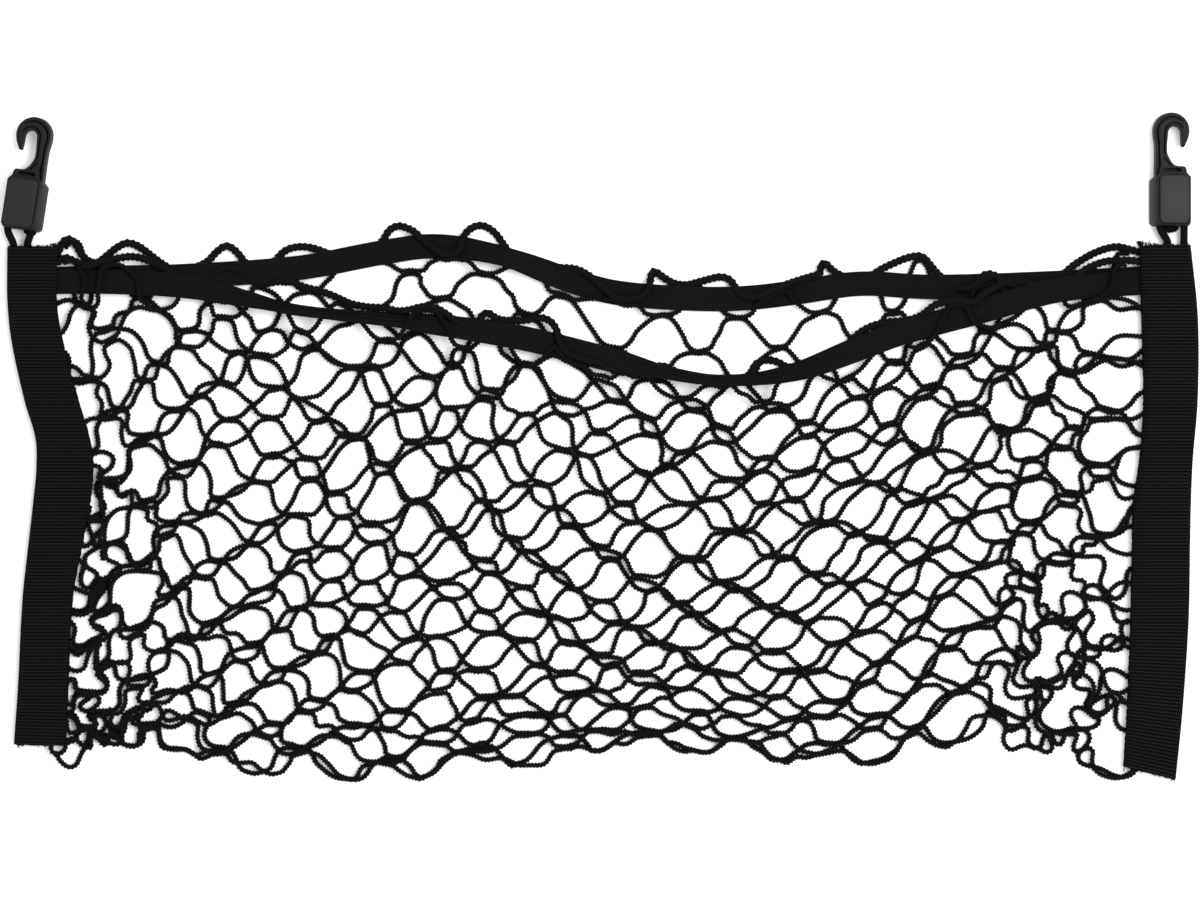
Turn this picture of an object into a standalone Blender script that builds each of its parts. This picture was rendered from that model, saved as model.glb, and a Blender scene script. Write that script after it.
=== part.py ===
"""Cargo net for a car boot, laid out flat on a surface.

One knotless net is folded at the bottom into a front and a back layer. Its side edges lie inside folded
webbing, a flat elastic band runs through the top meshes of each layer, and a hook hangs on a short loop of
shock cord from the top end of each binding.

Metres, +Z up. Seen from above, +X is to the right and +Y is the mouth of the pocket. The origin is the
middle of the footprint, on the surface. The tables below are in millimetres.
"""

import bisect
import math
import random

import bmesh
import bpy
from mathutils import Matrix, Vector

MM = 0.001
UP = Vector((0, 0, 1))
SHARP_ANGLE = math.radians(35)

# The cord of the net, and its mesh. One mesh here stands for one and a half of the real net's.
ROD_WIDTH = 2.8 * MM
ROD_THICKNESS = 2.2 * MM
MESHES_ACROSS = 8
FOLD_ROW = 11                      # rows of joints from the mouth, row 0, down to the bottom fold
LAST_ROW = 2 * FOLD_ROW            # the same sheet goes on up the back
JOINT_LENGTH = 9.0 * MM
JOINT_HEIGHT = 3.8 * MM
LAYER_GAP = 0.4 * MM
SLACK = 2.4 * MM                   # how far a cord strays from the straight line
UNEVEN = 3.0 * MM                  # how far a joint strays from its place
LAYER_SHIFT = 18.0 * MM            # sideways stagger of the layers in mid net
ARCH_HEIGHT = 9.5 * MM             # loops of the top edge above its joints
ARCH_HEIGHTS = (0.8, 1.0, 0.7, 1.15, 0.85, 1.0, 0.75, 1.1)
ARCH_RINGS = (0.12, 0.37, 0.63, 0.88)  # places of the sections along a loop, from 0 to 1
CORD_RINGS = (0.27, 0.73)          # and along any other cord of the net
JOINT_TURN = 0.25                  # radians that a joint may lie turned
FOLD_RISE = 1.0 * MM               # a fold joint's upper and lower corners stand back from its ends
FOLD_EVENNESS = 0.3                # joints of the fold stray less up and down

# Elastic bands
BAND_WIDTH = 12.5 * MM
BAND_THICKNESS = 1.0 * MM
BAND_STEPS = 40
JOINT_TO_BAND = 11.2 * MM          # from a band's middle to the joints above and below it
CROSSING = BAND_WIDTH / 2 + 1.6 * MM
BANDS_APART = 34.0 * MM            # where the bands part this far, the back net also laps over its band

# Folded webbing
WEB_THICKNESS = 1.2 * MM
BINDING_HEIGHT = 6.8 * MM
BINDING_CORNER = 2.6 * MM
CORNER_STEPS = 3
EDGE_DEPTH = 6.0 * MM              # from a binding's mouth to the joints of the net's edge
EDGE_CORD_DEPTH = 8.5 * MM
EDGE_THICKNESS = 1.5 * MM          # the net's edge is pressed flat under the stitching
MOUTH_CLEARANCE = 1.5 * MM
BAND_TUCK = 4.5 * MM               # from a binding's mouth to a band's end

HALF_SPAN = 275.0 * MM             # about half of the way between the bindings

# Heights of the middles of the layers
BACK_LEVEL = ROD_THICKNESS / 2
FRONT_LEVEL = BACK_LEVEL + ROD_THICKNESS + LAYER_GAP
TOUCH = 0.35 * MM
BACK_BAND_LEVEL = ROD_THICKNESS + TOUCH + BAND_THICKNESS / 2
FRONT_TOP_LEVEL = BACK_BAND_LEVEL + (BAND_THICKNESS + ROD_THICKNESS) / 2 + TOUCH
BACK_OVER_LEVEL = FRONT_TOP_LEVEL
FRONT_BAND_LEVEL = FRONT_TOP_LEVEL + (BAND_THICKNESS + ROD_THICKNESS) / 2 + TOUCH
FRONT_OVER_LEVEL = FRONT_BAND_LEVEL + (BAND_THICKNESS + ROD_THICKNESS) / 2 + TOUCH
BACK_EDGE_LEVEL = 2.3 * MM
FRONT_EDGE_LEVEL = 4.2 * MM
BACK_BAND_END_LEVEL = 2.6 * MM
FRONT_BAND_END_LEVEL = 4.2 * MM
BAND_RISE = (4.0 * MM, 34.0 * MM)  # a band climbs to its level between these distances from the mouth

# Shock cord loops
LOOP_DIAMETER = 3.8 * MM
LOOP_LEG = 6.3 * MM                # from the middle of a hook's case to each leg
LOOP_DEPTH = 20.0 * MM             # of the bight inside the binding
LOOP_BEND = 4.1 * MM
LOOP_LEVEL = BINDING_HEIGHT / 2
LOOP_TUCK = 7.0 * MM               # of each leg inside the case

# Hooks
CASE_WIDTH = 21.6 * MM
CASE_TOP_WIDTH = 17.2 * MM
CASE_LENGTH = 27.2 * MM
CASE_CUT = 2.8 * MM                # off each upper corner
CASE_THICKNESS = 11.0 * MM
CASE_BEVEL = 0.8 * MM
ARM_THICKNESS = 7.0 * MM
ARM_BEVEL = 0.6 * MM
ARM_ROOT = 22.0 * MM               # the arm starts inside the case
CROWN_RADIUS = 9.9 * MM
CROWN_CENTRE = (0.0, 48.0 * MM)
THROAT_RADIUS = 3.2 * MM
THROAT_CENTRE = (1.6 * MM, 47.8 * MM)
THROAT_STEPS = 5                   # an odd number, so the middle face looks straight down the hook
COVER_WIDTH = 14.6 * MM
COVER_LENGTH = 24.2 * MM
COVER_CORNER = 2.5 * MM
COVER_SEAT = 1.0 * MM
COVER_PROUD = 0.7 * MM
SLOT_WIDTH = 8.0 * MM
SLOT_HEIGHT = 2.0 * MM
SLOT_DEPTH = 3.0 * MM              # from the arm's upper face
SLOT_MIDDLE = (0.8 * MM, 29.0 * MM)
HOOK_ROLL = math.radians(8.0)      # each hook lies turned a little about its own length
FIT = 0.3 * MM                     # clearance between pieces that touch

# One row a place along each binding: y and x of the mouth edge, x of the folded edge, its extra y
LEFT_BINDING = (
    (-151.1, -271.3, -297.4, 1.0),
    (-120.0, -269.8, -295.3, 0.0),
    (-77.0, -267.7, -293.1, 0.0),
    (-50.0, -263.0, -290.2, 0.0),
    (-26.2, -258.6, -287.5, 0.0),
    (-10.0, -257.2, -286.0, 0.0),
    (5.3, -259.1, -286.5, 0.0),
    (24.6, -264.7, -292.1, 0.0),
    (55.1, -272.8, -298.7, 0.0),
    (75.4, -275.8, -300.7, 0.0),
    (102.4, -275.3, -300.7, 0.0),
)
RIGHT_BINDING = (
    (-161.3, 265.7, 292.1, -6.6),
    (-130.0, 267.6, 295.6, -3.0),
    (-87.1, 269.2, 298.7, 0.0),
    (-50.0, 270.0, 299.4, 0.0),
    (-26.2, 270.8, 299.9, 0.0),
    (-5.8, 273.8, 300.8, 0.0),
    (24.6, 275.8, 303.3, 0.0),
    (66.3, 274.8, 303.4, 0.0),
    (103.4, 273.8, 299.7, 0.0),
)

# One row a bend of each band: x and y of its middle line
FRONT_BAND = (
    (-290.0, 84.6),
    (-245.0, 84.4),
    (-208.3, 82.0),
    (-177.8, 75.5),
    (-152.4, 70.0),
    (-101.6, 64.8),
    (-71.1, 61.2),
    (-35.6, 55.2),
    (10.2, 43.9),
    (50.8, 35.4),
    (76.0, 35.0),
    (101.6, 39.5),
    (127.0, 49.0),
    (152.4, 58.5),
    (193.0, 69.5),
    (233.7, 80.5),
    (290.0, 85.1),
)
BACK_BAND = (
    (-290.0, 85.8),
    (-245.0, 86.6),
    (-208.3, 87.6),
    (-152.4, 91.7),
    (-110.0, 99.5),
    (-83.8, 102.6),
    (-50.8, 98.0),
    (-12.7, 84.5),
    (10.2, 78.8),
    (50.8, 75.9),
    (76.2, 76.5),
    (101.6, 79.5),
    (132.1, 83.6),
    (167.6, 82.0),
    (223.5, 83.6),
    (290.0, 87.1),
)

# One row a wave of the bottom fold: x and y
FOLD = (
    (-290.0, -151.0),
    (-262.0, -152.0),
    (-223.5, -147.5),
    (-195.0, -160.0),
    (-150.0, -164.5),
    (-104.0, -169.5),
    (-69.6, -162.5),
    (-30.0, -158.0),
    (10.2, -151.5),
    (44.7, -152.5),
    (75.7, -156.0),
    (111.8, -161.5),
    (152.4, -156.5),
    (187.0, -147.5),
    (217.0, -151.5),
    (245.0, -162.0),
    (290.0, -155.0),
)

# The arm of a hook that opens to +X, one row a corner, from the case up the back to the crown
ARM_BACK = ((-9.6, 30.8), (-9.3, 34.5), (-9.1, 40.0), (-9.4, 43.0))
# The tip, and then the seat that runs from the shank out to the shoulder
ARM_TIP = ((8.9, 43.4), (7.4, 40.4), (5.9, 39.9), (4.9, 40.8))
ARM_SEAT = ((-1.6, 40.0), (-1.3, 37.0), (0.2, 34.2), (2.6, 32.6), (5.6, 32.0), (7.4, 31.4), (8.4, 28.6))

# Where each hook lies: x and y of the middle of its case's end, the lean of its top to the right
LEFT_HOOK = (-293.7 * MM, 110.9 * MM, math.radians(7.5))
RIGHT_HOOK = (289.8 * MM, 112.6 * MM, 0.0)


def smooth(table, at, column=1):
    """Read a column of a table, in metres, on a smooth curve through its rows."""
    places = [row[0] * MM for row in table]
    values = [row[column] * MM for row in table]
    k = min(max(bisect.bisect_right(places, at) - 1, 0), len(table) - 2)

    def slope(i):
        before, after = max(i - 1, 0), min(i + 1, len(table) - 1)
        return (values[after] - values[before]) / (places[after] - places[before])

    span = places[k + 1] - places[k]
    f = min(max((at - places[k]) / span, 0.0), 1.0)
    start = (2 * f**3 - 3 * f**2 + 1) * values[k] + (f**3 - 2 * f**2 + f) * span * slope(k)
    end = (3 * f**2 - 2 * f**3) * values[k + 1] + (f**3 - f**2) * span * slope(k + 1)
    return start + end


def steepness(table, x):
    """Angle of a band's middle line at x."""
    step = 2 * MM
    return math.atan2(smooth(table, x + step) - smooth(table, x - step), 2 * step)


def ease(f):
    """Go from 0 to 1 with a soft start and end."""
    f = min(max(f, 0.0), 1.0)
    return f * f * (3 - 2 * f)


def mix(a, b, f):
    return a + (b - a) * f


def mouths(y):
    """x of the mouth edges of the left and the right binding at this y."""
    return smooth(LEFT_BINDING, y), smooth(RIGHT_BINDING, y)


def material(name, colour, roughness):
    made = bpy.data.materials.new(name)
    made.use_nodes = True
    shader = made.node_tree.nodes["Principled BSDF"]
    shader.inputs["Base Color"].default_value = (*colour, 1.0)
    shader.inputs["Roughness"].default_value = roughness
    shader.inputs["Metallic"].default_value = 0.0
    made.diffuse_color = (*colour, 1.0)
    return made


def add_object(name, bm, look, outward=True):
    """Turn a bmesh into an object, with its faces pointing out."""
    if outward:
        bmesh.ops.recalc_face_normals(bm, faces=bm.faces)
    mesh = bpy.data.meshes.new(name)
    bm.to_mesh(mesh)
    bm.free()
    mesh.shade_smooth()
    mesh.set_sharp_from_angle(angle=SHARP_ANGLE)
    mesh.materials.append(look)
    made = bpy.data.objects.new(name, mesh)
    bpy.context.scene.collection.objects.link(made)
    return made


def loft(rings):
    """A closed bmesh through rings of points that have the same number of points."""
    bm = bmesh.new()
    loops = [[bm.verts.new(point) for point in ring] for ring in rings]
    count = len(loops[0])
    for low, high in zip(loops, loops[1:]):
        for i in range(count):
            bm.faces.new((low[i], low[(i + 1) % count], high[(i + 1) % count], high[i]))
    bm.faces.new(loops[0])
    bm.faces.new(loops[-1])
    return bm


class Web:
    """A thin sheet of faces, each corner with its own outward direction and thickness."""

    def __init__(self):
        self.corners = []
        self.faces = []

    def corner(self, place, outward, thickness):
        self.corners.append((place, outward.normalized() * thickness / 2))
        return len(self.corners) - 1

    def strand(self, start, end, rings):
        """Cord from one joint's side to another's. A side is its right and its left corner, seen along
        the cord from outside, and a ring is a middle, an outward direction and a thickness."""
        right, left = [start[0]], [start[1]]
        stops = [self.middle(start)] + [ring[0] for ring in rings] + [self.middle(end)]
        for k, (middle, outward, thickness) in enumerate(rings, start=1):
            side = outward.cross(stops[k + 1] - stops[k - 1]).normalized() * ROD_WIDTH / 2
            right.append(self.corner(middle - side, outward, thickness))
            left.append(self.corner(middle + side, outward, thickness))
        right.append(end[0])
        left.append(end[1])
        for k in range(len(right) - 1):
            self.faces.append((right[k], right[k + 1], left[k + 1], left[k]))

    def middle(self, side):
        return (self.corners[side[0]][0] + self.corners[side[1]][0]) / 2

    def thicken(self):
        """The closed solid: every face doubled, and a wall along every free edge."""
        bm = bmesh.new()
        outer = [bm.verts.new(place + half) for place, half in self.corners]
        inner = [bm.verts.new(place - half) for place, half in self.corners]
        edges = {(f[i], f[(i + 1) % len(f)]) for f in self.faces for i in range(len(f))}
        for face in self.faces:
            bm.faces.new([outer[i] for i in face])
            bm.faces.new([inner[i] for i in reversed(face)])
        for a, b in sorted(edges):
            if (b, a) not in edges:
                bm.faces.new((outer[b], outer[a], inner[a], inner[b]))
        return bm


def depth_of(row):
    """Rows below the mouth, on either layer."""
    return min(row, LAST_ROW - row)


def band_of(row):
    return FRONT_BAND if row < FOLD_ROW else BACK_BAND


def level_of(row):
    """Height of the middle of the net at a row of joints."""
    if row > FOLD_ROW:
        return BACK_LEVEL
    if row <= 1:
        return FRONT_TOP_LEVEL
    return mix(FRONT_TOP_LEVEL, FRONT_LEVEL, min(row - 1, 2) / 2)


def in_plan(row, across):
    """x and y of a joint: across goes from 0 at the left edge to 1 at the right edge."""
    depth, band = depth_of(row), band_of(row)
    down = max(depth - 1, 0) / (FOLD_ROW - 1)
    x = mix(-HALF_SPAN, HALF_SPAN, across)
    for _ in range(4):
        lean = 1 / math.cos(steepness(band, x))
        top = smooth(band, x) + JOINT_TO_BAND * lean * (1 if depth == 0 else -1)
        y = mix(top, smooth(FOLD, x), down)
        left, right = mouths(y)
        x = mix(left - EDGE_DEPTH, right + EDGE_DEPTH, across)
        stagger = LAYER_SHIFT * math.sin(math.pi * across) * math.sin(math.pi * down)
        x += stagger / 2 if row < FOLD_ROW else -stagger / 2
    return x, y


def joint(web, row, index):
    """A joint of the net: its four sides, named for where their cords go on the flat sheet."""
    across = (index + 0.5 * (row % 2)) / MESHES_ACROSS
    x, y = in_plan(row, across)
    chance = random.Random(1000 * row + index)
    edge = across in (0.0, 1.0)
    if depth_of(row) > 1 and not edge:
        x += chance.uniform(-UNEVEN, UNEVEN)
        y += chance.uniform(-UNEVEN, UNEVEN) * (FOLD_EVENNESS if row == FOLD_ROW else 1.0)
    if row == FOLD_ROW:
        return fold_joint(web, x, y)
    front = row < FOLD_ROW
    outward = UP if front else -UP
    thickness = EDGE_THICKNESS if edge else ROD_THICKNESS
    z = level_of(row)
    if edge:
        z = FRONT_EDGE_LEVEL if front else BACK_EDGE_LEVEL
    turn = chance.uniform(-JOINT_TURN, JOINT_TURN)
    if depth_of(row) <= 1:
        turn = steepness(band_of(row), x)
    along = Vector((math.cos(turn), math.sin(turn), 0)) * JOINT_LENGTH / 2
    higher = Vector((-math.sin(turn), math.cos(turn), 0)) * JOINT_HEIGHT / 2
    towards_mouth = higher if front else -higher
    middle = Vector((x, y, z))
    left = web.corner(middle - along, outward, thickness)
    right = web.corner(middle + along, outward, thickness)
    upper = web.corner(middle + towards_mouth, outward, thickness)
    lower = web.corner(middle - towards_mouth, outward, thickness)
    return four_sides(web, left, lower, right, upper)


def fold_joint(web, x, y):
    """A joint on the bottom fold, which stands on edge and ties the two layers together."""
    half = JOINT_LENGTH / 2
    middle = (FRONT_LEVEL + BACK_LEVEL) / 2
    ahead = Vector((0, -1, 0))
    left = web.corner(Vector((x - half, y, middle)), ahead, ROD_THICKNESS)
    right = web.corner(Vector((x + half, y, middle)), ahead, ROD_THICKNESS)
    upper = web.corner(Vector((x, y + FOLD_RISE, FRONT_LEVEL)), ahead + 2 * UP, ROD_THICKNESS)
    lower = web.corner(Vector((x, y + FOLD_RISE, BACK_LEVEL)), ahead - 2 * UP, ROD_THICKNESS)
    return four_sides(web, left, lower, right, upper)


def four_sides(web, left, lower, right, upper):
    """Each side is the right and the left corner for a cord that comes down the sheet, or goes across."""
    web.faces.append((left, lower, right, upper))
    return {
        "from_left": (left, upper),
        "from_right": (upper, right),
        "to_left": (left, lower),
        "to_right": (lower, right),
        "left": left,
        "right": right,
        "upper": upper,
        "lower": lower,
    }


def near_mouth(start, end, front):
    """The ring just outside a binding's mouth, where a cord comes out of the binding."""
    place = start.lerp(end, 0.1)
    for _ in range(8):
        left, right = mouths(place.y)
        target = left + MOUTH_CLEARANCE if place.x < 0 else right - MOUTH_CLEARANCE
        place = start.lerp(end, (target - start.x) / (end.x - start.x))
    place.z = FRONT_EDGE_LEVEL if front else BACK_EDGE_LEVEL
    return place, (UP if front else -UP), EDGE_THICKNESS


def slack_ring(start, end, f, chance, outward):
    """A ring part of the way along a cord, strayed sideways."""
    place = start.lerp(end, f)
    aside = outward.cross(end - start).normalized() * chance.uniform(-SLACK, SLACK)
    return place + aside, outward, ROD_THICKNESS


def crossing_ring(start, end, band, side, level, outward):
    """The ring where a cord comes clear of a band's upper (+1) or lower (-1) edge."""
    low, high = 0.0, 1.0
    falling = start.y > end.y
    for _ in range(24):
        f = (low + high) / 2
        place = start.lerp(end, f)
        off = (place.y - smooth(band, place.x)) * math.cos(steepness(band, place.x))
        if (off > side * CROSSING) == falling:
            low = f
        else:
            high = f
    place.z = level
    return place, outward, ROD_THICKNESS


def laps_over(row, start, end):
    """Whether a cord of the top row passes over its band."""
    falls_right = (end.x - start.x) * (end.y - start.y) < 0
    x = (start.x + end.x) / 2
    if row < FOLD_ROW:
        return falls_right == (x < 0)
    apart = smooth(BACK_BAND, x) - smooth(FRONT_BAND, x)
    return falls_right and apart > BANDS_APART


def cord_between(web, row, upper_joint, lower_joint, to_right):
    """One cord from a joint down the sheet to a joint of the next row."""
    start = upper_joint["to_right" if to_right else "to_left"]
    end = lower_joint["from_left" if to_right else "from_right"]
    a, b = web.middle(start), web.middle(end)
    front = row < FOLD_ROW
    outward = UP if front else -UP
    chance = random.Random(7000 + 100 * row + round(1e4 * (a.x + b.x)))
    if depth_of(row) == 0 or depth_of(row + 1) == 0:
        band = band_of(row)
        if laps_over(row, a, b):
            level = FRONT_OVER_LEVEL if front else BACK_OVER_LEVEL
        else:
            level = FRONT_TOP_LEVEL if front else BACK_LEVEL
        sides = (1, -1) if front else (-1, 1)
        rings = [crossing_ring(a, b, band, side, level, outward) for side in sides]
    else:
        rings = [slack_ring(a, b, f, chance, outward) for f in CORD_RINGS]
    left_a, right_a = mouths(a.y)
    left_b, right_b = mouths(b.y)
    if a.x < left_a or a.x > right_a:
        rings[0] = near_mouth(a, b, front)
    if b.x < left_b or b.x > right_b:
        rings[1] = near_mouth(b, a, front)
    web.strand(start, end, rings)


def top_edge(web, row, joints):
    """The loops of cord along the mouth of one layer."""
    front = row < FOLD_ROW
    outward = UP if front else -UP
    for i, (one, other) in enumerate(zip(joints, joints[1:])):
        if front:
            start, end = (one["right"], one["upper"]), (other["left"], other["upper"])
        else:
            start, end = (one["lower"], one["right"]), (other["lower"], other["left"])
        a, b = web.middle(start), web.middle(end)
        height = ARCH_HEIGHT * ARCH_HEIGHTS[(i + (0 if front else 3)) % len(ARCH_HEIGHTS)]
        rings = []
        for f in ARCH_RINGS:
            place = a.lerp(b, f) + Vector((0, height * math.sin(math.pi * f) ** 0.7, 0))
            place.z = level_of(row)
            rings.append((place, outward, ROD_THICKNESS))
        if i == 0:
            rings[0] = near_mouth(a, b, front)
        if i == len(joints) - 2:
            rings[-1] = near_mouth(b, a, front)
        web.strand(start, end, rings)


def side_edge(web, row, upper_joint, lower_joint, left):
    """The net's own edge cord between two joints, inside a binding."""
    if left:
        start = (upper_joint["left"], upper_joint["lower"])
        end = (lower_joint["left"], lower_joint["upper"])
    else:
        start = (upper_joint["lower"], upper_joint["right"])
        end = (lower_joint["upper"], lower_joint["right"])
    front = row < FOLD_ROW
    a, b = web.middle(start), web.middle(end)
    rings = []
    for f in CORD_RINGS:
        place = a.lerp(b, f)
        mouth_left, mouth_right = mouths(place.y)
        place.x = mouth_left - EDGE_CORD_DEPTH if left else mouth_right + EDGE_CORD_DEPTH
        rings.append((place, UP if front else -UP, EDGE_THICKNESS))
    web.strand(start, end, rings)


def make_net(look):
    """The whole net as one sheet of cords: down the front, round the fold and up the back."""
    web = Web()
    rows = []
    for row in range(LAST_ROW + 1):
        count = MESHES_ACROSS + 1 - row % 2
        rows.append([joint(web, row, index) for index in range(count)])
    for row in range(LAST_ROW):
        for index, upper_joint in enumerate(rows[row]):
            for to_right in (False, True):
                if row % 2 == 0:
                    below = index if to_right else index - 1
                else:
                    below = index + 1 if to_right else index
                if not 0 <= below < len(rows[row + 1]):
                    continue
                corner = row in (0, LAST_ROW - 1) and (
                    (index if row == 0 else below) in (0, MESHES_ACROSS)
                )
                if not corner:
                    cord_between(web, row, upper_joint, rows[row + 1][below], to_right)
    top_edge(web, 0, rows[0])
    top_edge(web, LAST_ROW, rows[LAST_ROW])
    for row in range(0, LAST_ROW - 1, 2):
        if row != FOLD_ROW - 1:
            side_edge(web, row, rows[row][0], rows[row + 2][0], True)
            side_edge(web, row, rows[row][-1], rows[row + 2][-1], False)
    return add_object("net", web.thicken(), look, outward=False)


def make_band(name, table, level, end_level, look):
    """A flat elastic band along its middle line, its ends tucked into the bindings."""
    left = mouths(smooth(table, -HALF_SPAN))[0]
    right = mouths(smooth(table, HALF_SPAN))[1]
    rings = []
    for k in range(BAND_STEPS + 1):
        x = mix(left - BAND_TUCK, right + BAND_TUCK, k / BAND_STEPS)
        inside = min(x - left, right - x)
        climb = ease((inside - BAND_RISE[0]) / (BAND_RISE[1] - BAND_RISE[0]))
        turn = steepness(table, x)
        middle = Vector((x, smooth(table, x), mix(end_level, level, climb)))
        half = Vector((-math.sin(turn), math.cos(turn), 0)) * BAND_WIDTH / 2
        thick = UP * BAND_THICKNESS / 2
        low, high = middle - thick, middle + thick
        rings.append([low - half, low + half, high + half, high - half])
    return add_object(name, loft(rings), look)


def folded_profile(width):
    """The folded webbing's section: distance from the mouth, and height."""
    def corner(centre_height, radius, start):
        centre = width - BINDING_CORNER
        angles = [math.radians(start + 90 * k / CORNER_STEPS) for k in range(CORNER_STEPS + 1)]
        return [(centre + radius * math.cos(a), centre_height + radius * math.sin(a)) for a in angles]

    low, high = BINDING_CORNER, BINDING_HEIGHT - BINDING_CORNER
    inner_radius = BINDING_CORNER - WEB_THICKNESS
    outer = [(0, 0)] + corner(low, BINDING_CORNER, -90) + corner(high, BINDING_CORNER, 0)
    inner = [(0, WEB_THICKNESS)] + corner(low, inner_radius, -90) + corner(high, inner_radius, 0)
    return outer + [(0, BINDING_HEIGHT), (0, BINDING_HEIGHT - WEB_THICKNESS)] + inner[:0:-1] + [inner[0]]


def make_binding(name, table, look):
    """Webbing folded over the net's side edge, along its bends."""
    rings = []
    for y, mouth, fold, extra in table:
        inner = Vector((mouth, y, 0)) * MM
        across = Vector((fold, y + extra, 0)) * MM - inner
        direction = across.normalized()
        rings.append([inner + direction * a + UP * z for a, z in folded_profile(across.length)])
    return add_object(name, loft(rings), look)


def arc(centre, radius, start, stop, steps):
    """Points on an arc, angles in degrees."""
    angles = [math.radians(mix(start, stop, k / steps)) for k in range(steps + 1)]
    return [(centre[0] + radius * math.cos(a), centre[1] + radius * math.sin(a)) for a in angles]


def in_metres(points):
    return [(x * MM, y * MM) for x, y in points]


def arm_outline():
    """Outline of the hook's arm, anticlockwise, for a hook that opens to +X."""
    seat = in_metres(reversed(ARM_SEAT))
    throat = arc(THROAT_CENTRE, THROAT_RADIUS, 180, 0, THROAT_STEPS)
    tip = in_metres(reversed(ARM_TIP))
    crown = arc(CROWN_CENTRE, CROWN_RADIUS, -8, 190, 11)
    back = in_metres(reversed(ARM_BACK))
    foot = [(-9.6 * MM, ARM_ROOT), (8.4 * MM, ARM_ROOT)]
    return seat + throat + tip + crown + back + foot


def prism(outline, low, high):
    """A bmesh of an outline in x and y, extruded from one height to another."""
    bm = bmesh.new()
    face = bm.faces.new([bm.verts.new((x, y, low)) for x, y in outline])
    grown = bmesh.ops.extrude_face_region(bm, geom=[face])
    raised = [item for item in grown["geom"] if isinstance(item, bmesh.types.BMVert)]
    bmesh.ops.translate(bm, verts=raised, vec=(0, 0, high - low))
    return bm


def rounded_rectangle(width, length, corner, middle_y, steps=2):
    x, y = width / 2 - corner, length / 2 - corner
    quarters = ((x, y, 0), (-x, y, 90), (-x, -y, 180), (x, -y, 270))
    points = []
    for cx, cy, start in quarters:
        points += arc((cx, middle_y + cy), corner, start, start + 90, steps)
    return points


def bevel(made, width):
    """Soften the edges of a moulded piece."""
    modifier = made.modifiers.new("softened edges", "BEVEL")
    modifier.width = width
    modifier.segments = 1
    modifier.limit_method = "ANGLE"
    modifier.angle_limit = math.radians(40)


def boolean(made, other, operation):
    """Join a helper to a piece, or cut it out. The helper itself isn't part of the model."""
    modifier = made.modifiers.new(other.name, "BOOLEAN")
    modifier.operation = operation
    modifier.solver = "EXACT"
    modifier.object = other
    other.hide_render = True
    other.display_type = "WIRE"


def hook_place(hook, mirror):
    """Matrix from a hook's own frame to where it lies, turned so that it rests on its case's edge."""
    x, y, lean = hook
    roll = HOOK_ROLL * mirror
    low_corner = CASE_WIDTH / 2 - CASE_BEVEL
    lift = CASE_THICKNESS / 2 * math.cos(HOOK_ROLL) + low_corner * math.sin(HOOK_ROLL)
    turned = Matrix.Rotation(-lean, 4, "Z") @ Matrix.Rotation(roll, 4, "Y")
    return Matrix.Translation((x, y, lift)) @ turned


def case_rings(half_thickness):
    """The case's outline at its underside and at its face, which is narrower, with cut upper corners."""
    rings = []
    for width, z in ((CASE_WIDTH, -half_thickness), (CASE_TOP_WIDTH, half_thickness)):
        draft = (CASE_WIDTH - width) / 4
        cut = CASE_CUT * width / CASE_WIDTH
        side, top = width / 2, CASE_LENGTH - draft
        outline = ((-side, draft), (side, draft), (side, top - cut), (side - cut, top),
                   (cut - side, top), (-side, top - cut))
        rings.append([Vector((x, y, z)) for x, y in outline])
    return rings


def make_hook(side, hook, mirror, look):
    """A moulded hook, with its cord case, and the cover that snaps into the case."""
    place = hook_place(hook, mirror)
    half = CASE_THICKNESS / 2

    def flipped(bm):
        bmesh.ops.scale(bm, verts=bm.verts, vec=(mirror, 1, 1))
        return bm

    case = add_object(f"hook_{side}", flipped(loft(case_rings(half))), look)
    bevel(case, CASE_BEVEL)
    arm_solid = prism(arm_outline(), -ARM_THICKNESS / 2, ARM_THICKNESS / 2)
    arm = add_object(f"arm_{side}", flipped(arm_solid), look)
    bevel(arm, ARM_BEVEL)
    boolean(case, arm, "UNION")

    x, y = SLOT_MIDDLE
    slot = rounded_rectangle(SLOT_WIDTH, SLOT_HEIGHT, SLOT_HEIGHT / 2.2, y)
    slot_cut = prism([(px + x, py) for px, py in slot], ARM_THICKNESS / 2 - SLOT_DEPTH, half)
    seat = rounded_rectangle(COVER_WIDTH + 2 * FIT, COVER_LENGTH + 2 * FIT, COVER_CORNER, CASE_LENGTH / 2)
    seat_cut = prism(seat, half - COVER_SEAT - FIT, half + 2 * MM)
    cutters = [("slot", flipped(slot_cut)), ("seat", flipped(seat_cut))]
    for leg in (-LOOP_LEG, LOOP_LEG):
        bore = arc((leg, 0), LOOP_DIAMETER / 2 + FIT, 0, 315, 7)
        bore_cut = prism(bore, -2 * MM, LOOP_TUCK + FIT)
        bmesh.ops.rotate(bore_cut, verts=bore_cut.verts, matrix=Matrix.Rotation(-math.pi / 2, 3, "X"))
        cutters.append(("bore", bore_cut))
    for k, (name, bm) in enumerate(cutters):
        cutter = add_object(f"{name}_{side}_{k}", bm, look)
        cutter.matrix_world = place
        boolean(case, cutter, "DIFFERENCE")
    arm.matrix_world = place
    case.matrix_world = place

    plate = rounded_rectangle(COVER_WIDTH, COVER_LENGTH, COVER_CORNER, CASE_LENGTH / 2)
    cover_solid = prism(plate, half - COVER_SEAT, half + COVER_PROUD)
    cover = add_object(f"hook_cover_{side}", flipped(cover_solid), look)
    bevel(cover, 0.4 * MM)
    cover.matrix_world = place


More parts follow.
